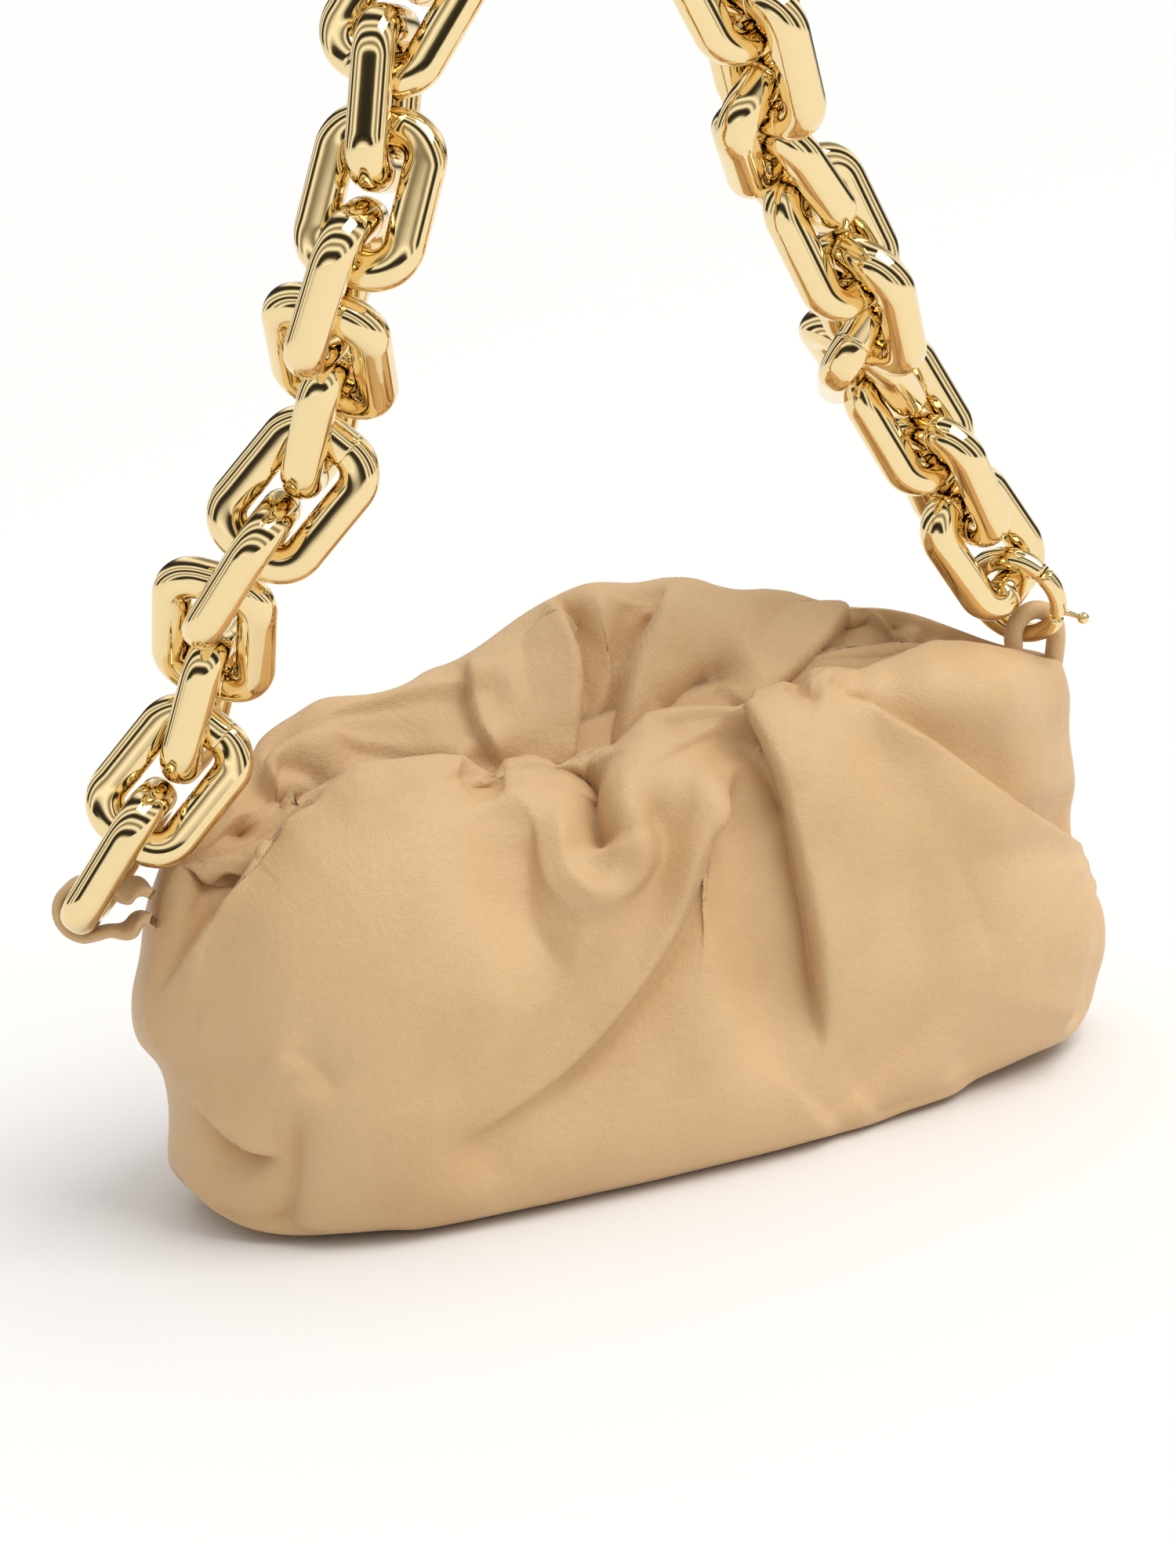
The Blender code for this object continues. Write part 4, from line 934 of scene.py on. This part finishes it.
def band_points(path, across, thick, width):
    """A strip with rounded edges along a path, with its width and the way it lies given at each point."""
    run = unit(np.gradient(path, axis=0))
    wide = unit(across - run * (across * run).sum(-1, keepdims=True))
    deep = np.cross(run, wide)
    angle = 2 * np.pi * (np.arange(BAND_SIDES) + 0.5) / BAND_SIDES
    c, s = np.cos(angle), np.sin(angle)
    reach = np.sign(c) * (width[:, None] - thick) / 2 + c * thick / 2
    high = (s * thick / 2)[None, :, None]
    return path[:, None, :] + reach[..., None] * wide[:, None, :] + high * deep[:, None, :]


def make_left_loop(first_link, mat):
    """A strip from the pouch's left end round the first link's bar and back, ruffled on its way."""
    middle, along, bar = first_link
    foot = middle - (LINK_LENGTH - LINK_BAR) / 2 * along
    out = unit(np.cross(bar, (0, 0, 1)))
    out = out if out[0] < 0 else -out
    up = np.cross(out, bar)
    up = up if up[2] > 0 else -up
    radius = LINK_BAR / 2 + 2 * GAP + LEFT_LOOP_THICK / 2
    angles = np.linspace(-np.pi / 2, np.pi / 2, LEFT_LOOP_TURN_STEPS)[:, None]
    turn = foot + radius * (np.cos(angles) * out + np.sin(angles) * up)
    run = np.linspace(LEFT_LOOP_REACH, LINK_BAR / 3, LEFT_LOOP_LEG_STEPS)
    near = radius * LEFT_LOOP_PINCH * run / LEFT_LOOP_REACH
    legs = [turn[k] - np.outer(run, out) - np.outer(side * near, up) for k, side in ((0, -1), (-1, 1))]
    path = np.vstack([legs[0], turn, legs[1][::-1]])
    path = curve_through(path, np.linspace(0, len(path) - 1, LEFT_LOOP_GRID))
    share = np.linspace(-1, 1, LEFT_LOOP_GRID)
    leg = smooth_step(np.abs(share), LEFT_LOOP_LEG_START, 1.0)
    ruffle = leg * np.sin(RUFFLES * np.pi * share)
    path = path + (RUFFLE_HEIGHT * ruffle * np.sign(share))[:, None] * up
    wide = bar + (RUFFLE_TWIST * leg * np.cos(RUFFLES * np.pi * share))[:, None] * up
    width = LEFT_LOOP_BAR_WIDTH + (LEFT_LOOP_FOOT_WIDTH - LEFT_LOOP_BAR_WIDTH) * leg
    obj = grid_object("left_end_loop", band_points(path, wide, LEFT_LOOP_THICK, width), mat, close_v=True)
    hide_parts("left_loop")
    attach(obj, "bag")


def make_right_loop(mat):
    """A rolled leather tube that rises out of the right end, arches through the ring and goes back in."""
    low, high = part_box("right_loop")
    x = (low[0] + high[0]) / 2
    centre_z = high[2] - RIGHT_LOOP_TUBE - RIGHT_LOOP_RADIUS
    angles = np.linspace(np.pi, 0, RIGHT_LOOP_ARCH_STEPS)
    arch = np.stack([x + RIGHT_LOOP_RADIUS * np.cos(angles), 0 * angles + SEAM_Y,
                     centre_z + RIGHT_LOOP_RADIUS * np.sin(angles)], 1)
    feet = [[[x + side * RIGHT_LOOP_RADIUS - lean * (1 - LEAN_STEP * side), SEAM_Y, centre_z - drop]
             for lean, drop in RIGHT_LOOP_LEG] for side in (-1, 1)]
    path = np.vstack([feet[0][::-1], arch, feet[1]])
    path = curve_through(path, np.linspace(0, len(path) - 1, RIGHT_LOOP_GRID))
    side, other = frames_along(path, (0, 1, 0))
    turn = 2 * np.pi * np.arange(RIGHT_LOOP_SIDES) / RIGHT_LOOP_SIDES
    roll = 1 + ROLL_STEP * (turn / (2 * np.pi) - 1)
    ring = np.cos(turn)[None, :, None] * side[:, None, :] + np.sin(turn)[None, :, None] * other[:, None, :]
    points = path[:, None, :] + (RIGHT_LOOP_TUBE * roll)[None, :, None] * ring
    obj = grid_object("right_end_loop", points, mat, close_v=True)
    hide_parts("right_loop")
    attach(obj, "bag")


# Studio

FLOOR_COLOUR = (0.84, 0.836, 0.828)
FLOOR_Z = -0.0002
FLOOR_HALF = 6.0
# Distances from the bag between which the floor fades
FLOOR_FADE = (1.2, 3.5)
BACKDROP_COLOUR = (1.0, 0.998, 0.985)
SOFT_SKY = ((0.0, (0.24, 0.24, 0.24)), (0.45, (0.60, 0.60, 0.60)), (0.9, (1.10, 1.10, 1.10)))
MIRROR_SKY = (
    (0.0, (0.03, 0.028, 0.022)), (0.16, (0.10, 0.09, 0.07)), (0.34, (0.75, 0.74, 0.70)),
    (0.62, (1.25, 1.24, 1.20)), (0.86, (0.85, 0.83, 0.78)), (1.0, (0.30, 0.27, 0.22)),
)
# How far the soft sky is tilted towards the right
SKY_TILT = 0.22
# Bands of the mirror sky: how many, and how much they are bent
BANDS_SCALE = 0.55
BANDS_BEND = 0.8
KEY_LIGHT = {"place": (5.0, -5.0, 12.5), "aim": (0, 0, 0.08), "size": (9.0, 9.0), "power": 1120.0,
             "colour": (1.0, 0.985, 0.96)}


def make_floor():
    """A wide pale floor that keeps the shadow under the bag and fades into the backdrop far from it."""
    mat, tree, shader = new_material("studio_floor", FLOOR_COLOUR, 0.7)
    shader.inputs["Specular IOR Level"].default_value = 0.2
    place = texture_place(tree)
    grain = node(tree, "ShaderNodeTexNoise", Scale=900.0, Detail=2.0)
    tree.links.new(place, grain.inputs["Vector"])
    emboss(tree, shader, grain.outputs["Fac"], 0.03, 0.0002)
    size = node(tree, "ShaderNodeVectorMath", operation="LENGTH")
    fade = node(tree, "ShaderNodeMapRange", interpolation_type="SMOOTHSTEP")
    fade.inputs["From Min"].default_value, fade.inputs["From Max"].default_value = FLOOR_FADE
    mixed = node(tree, "ShaderNodeMixShader")
    tree.links.new(place, size.inputs[0])
    tree.links.new(size.outputs["Value"], fade.inputs["Value"])
    tree.links.new(fade.outputs["Result"], mixed.inputs["Fac"])
    tree.links.new(shader.outputs["BSDF"], mixed.inputs[1])
    tree.links.new(node(tree, "ShaderNodeBsdfTransparent").outputs["BSDF"], mixed.inputs[2])
    tree.links.new(mixed.outputs["Shader"], tree.nodes["Material Output"].inputs["Surface"])
    edges = (-FLOOR_HALF, FLOOR_HALF)
    points = np.array([[[x, y, FLOOR_Z] for y in edges] for x in edges])
    grid_object("studio_floor", points, mat)


def area_light(name, place, aim, size, power, colour):
    data = bpy.data.lights.new(name, "AREA")
    data.shape = "RECTANGLE"
    data.size, data.size_y = size
    data.energy = power
    data.color = colour
    obj = bpy.data.objects.new(name, data)
    z = unit(np.array(place, float) - np.array(aim, float))
    x = unit(np.cross((0, 0, 1), z))
    m = np.eye(4)
    m[:3, 0], m[:3, 1], m[:3, 2], m[:3, 3] = x, np.cross(z, x), z, place
    obj.matrix_world = Matrix(m.tolist())
    bpy.context.collection.objects.link(obj)


def make_world():
    """Pale studio: near white to the camera, bands of light to reflections, a soft sky for the rest."""
    world = bpy.data.worlds.new("studio")
    bpy.context.scene.world = world
    world.use_nodes = True
    tree = world.node_tree
    link = tree.links.new
    background = tree.nodes["Background"]
    direction = node(tree, "ShaderNodeTexCoord").outputs["Generated"]
    split = node(tree, "ShaderNodeSeparateXYZ")
    link(direction, split.inputs["Vector"])
    around = node(tree, "ShaderNodeMath", operation="MULTIPLY_ADD")
    link(split.outputs["X"], around.inputs[0])
    around.inputs[1].default_value = SKY_TILT
    link(split.outputs["Z"], around.inputs[2])
    soft = ramp(tree, SOFT_SKY, around.outputs[0])
    stripe = node(tree, "ShaderNodeTexWave", wave_type="BANDS", bands_direction="DIAGONAL",
                  Scale=BANDS_SCALE, Distortion=BANDS_BEND)
    link(direction, stripe.inputs["Vector"])
    hard = ramp(tree, MIRROR_SKY, stripe.outputs["Fac"])
    rays = node(tree, "ShaderNodeLightPath")
    mirror = node(tree, "ShaderNodeMix", data_type="RGBA")
    link(rays.outputs["Is Glossy Ray"], mirror.inputs["Factor"])
    link(soft, mirror.inputs[6])
    link(hard, mirror.inputs[7])
    seen = node(tree, "ShaderNodeMix", data_type="RGBA")
    link(rays.outputs["Is Camera Ray"], seen.inputs["Factor"])
    link(mirror.outputs[2], seen.inputs[6])
    seen.inputs[7].default_value = (*BACKDROP_COLOUR, 1)
    link(seen.outputs[2], background.inputs["Color"])
    background.inputs["Strength"].default_value = 1.0


def main():
    make_camera()
    make_world()
    make_floor()
    area_light("key", **KEY_LIGHT)
    tan, lining, polished, spring = leather(), suede(), gold(), steel()
    front = pouch_half("front", tan)
    back = pouch_half("back", tan)
    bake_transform(front)
    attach(back, "bag")
    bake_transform(lining_half("front", lining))
    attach(lining_half("back", lining), "bag")
    links = make_links(polished)
    make_clasp(polished)
    make_left_loop(links["link_01"], tan)
    make_right_loop(tan)
    finishes = {"frame": spring, "magnet": spring, "hinge": spring, "gate_pin": polished}
    for name, obj in frame["nodes"].items():
        for start, mat in finishes.items():
            if name.startswith(start):
                obj.data.materials.clear()
                obj.data.materials.append(mat)


main()
bpy.context.scene.view_settings.view_transform = "Standard"
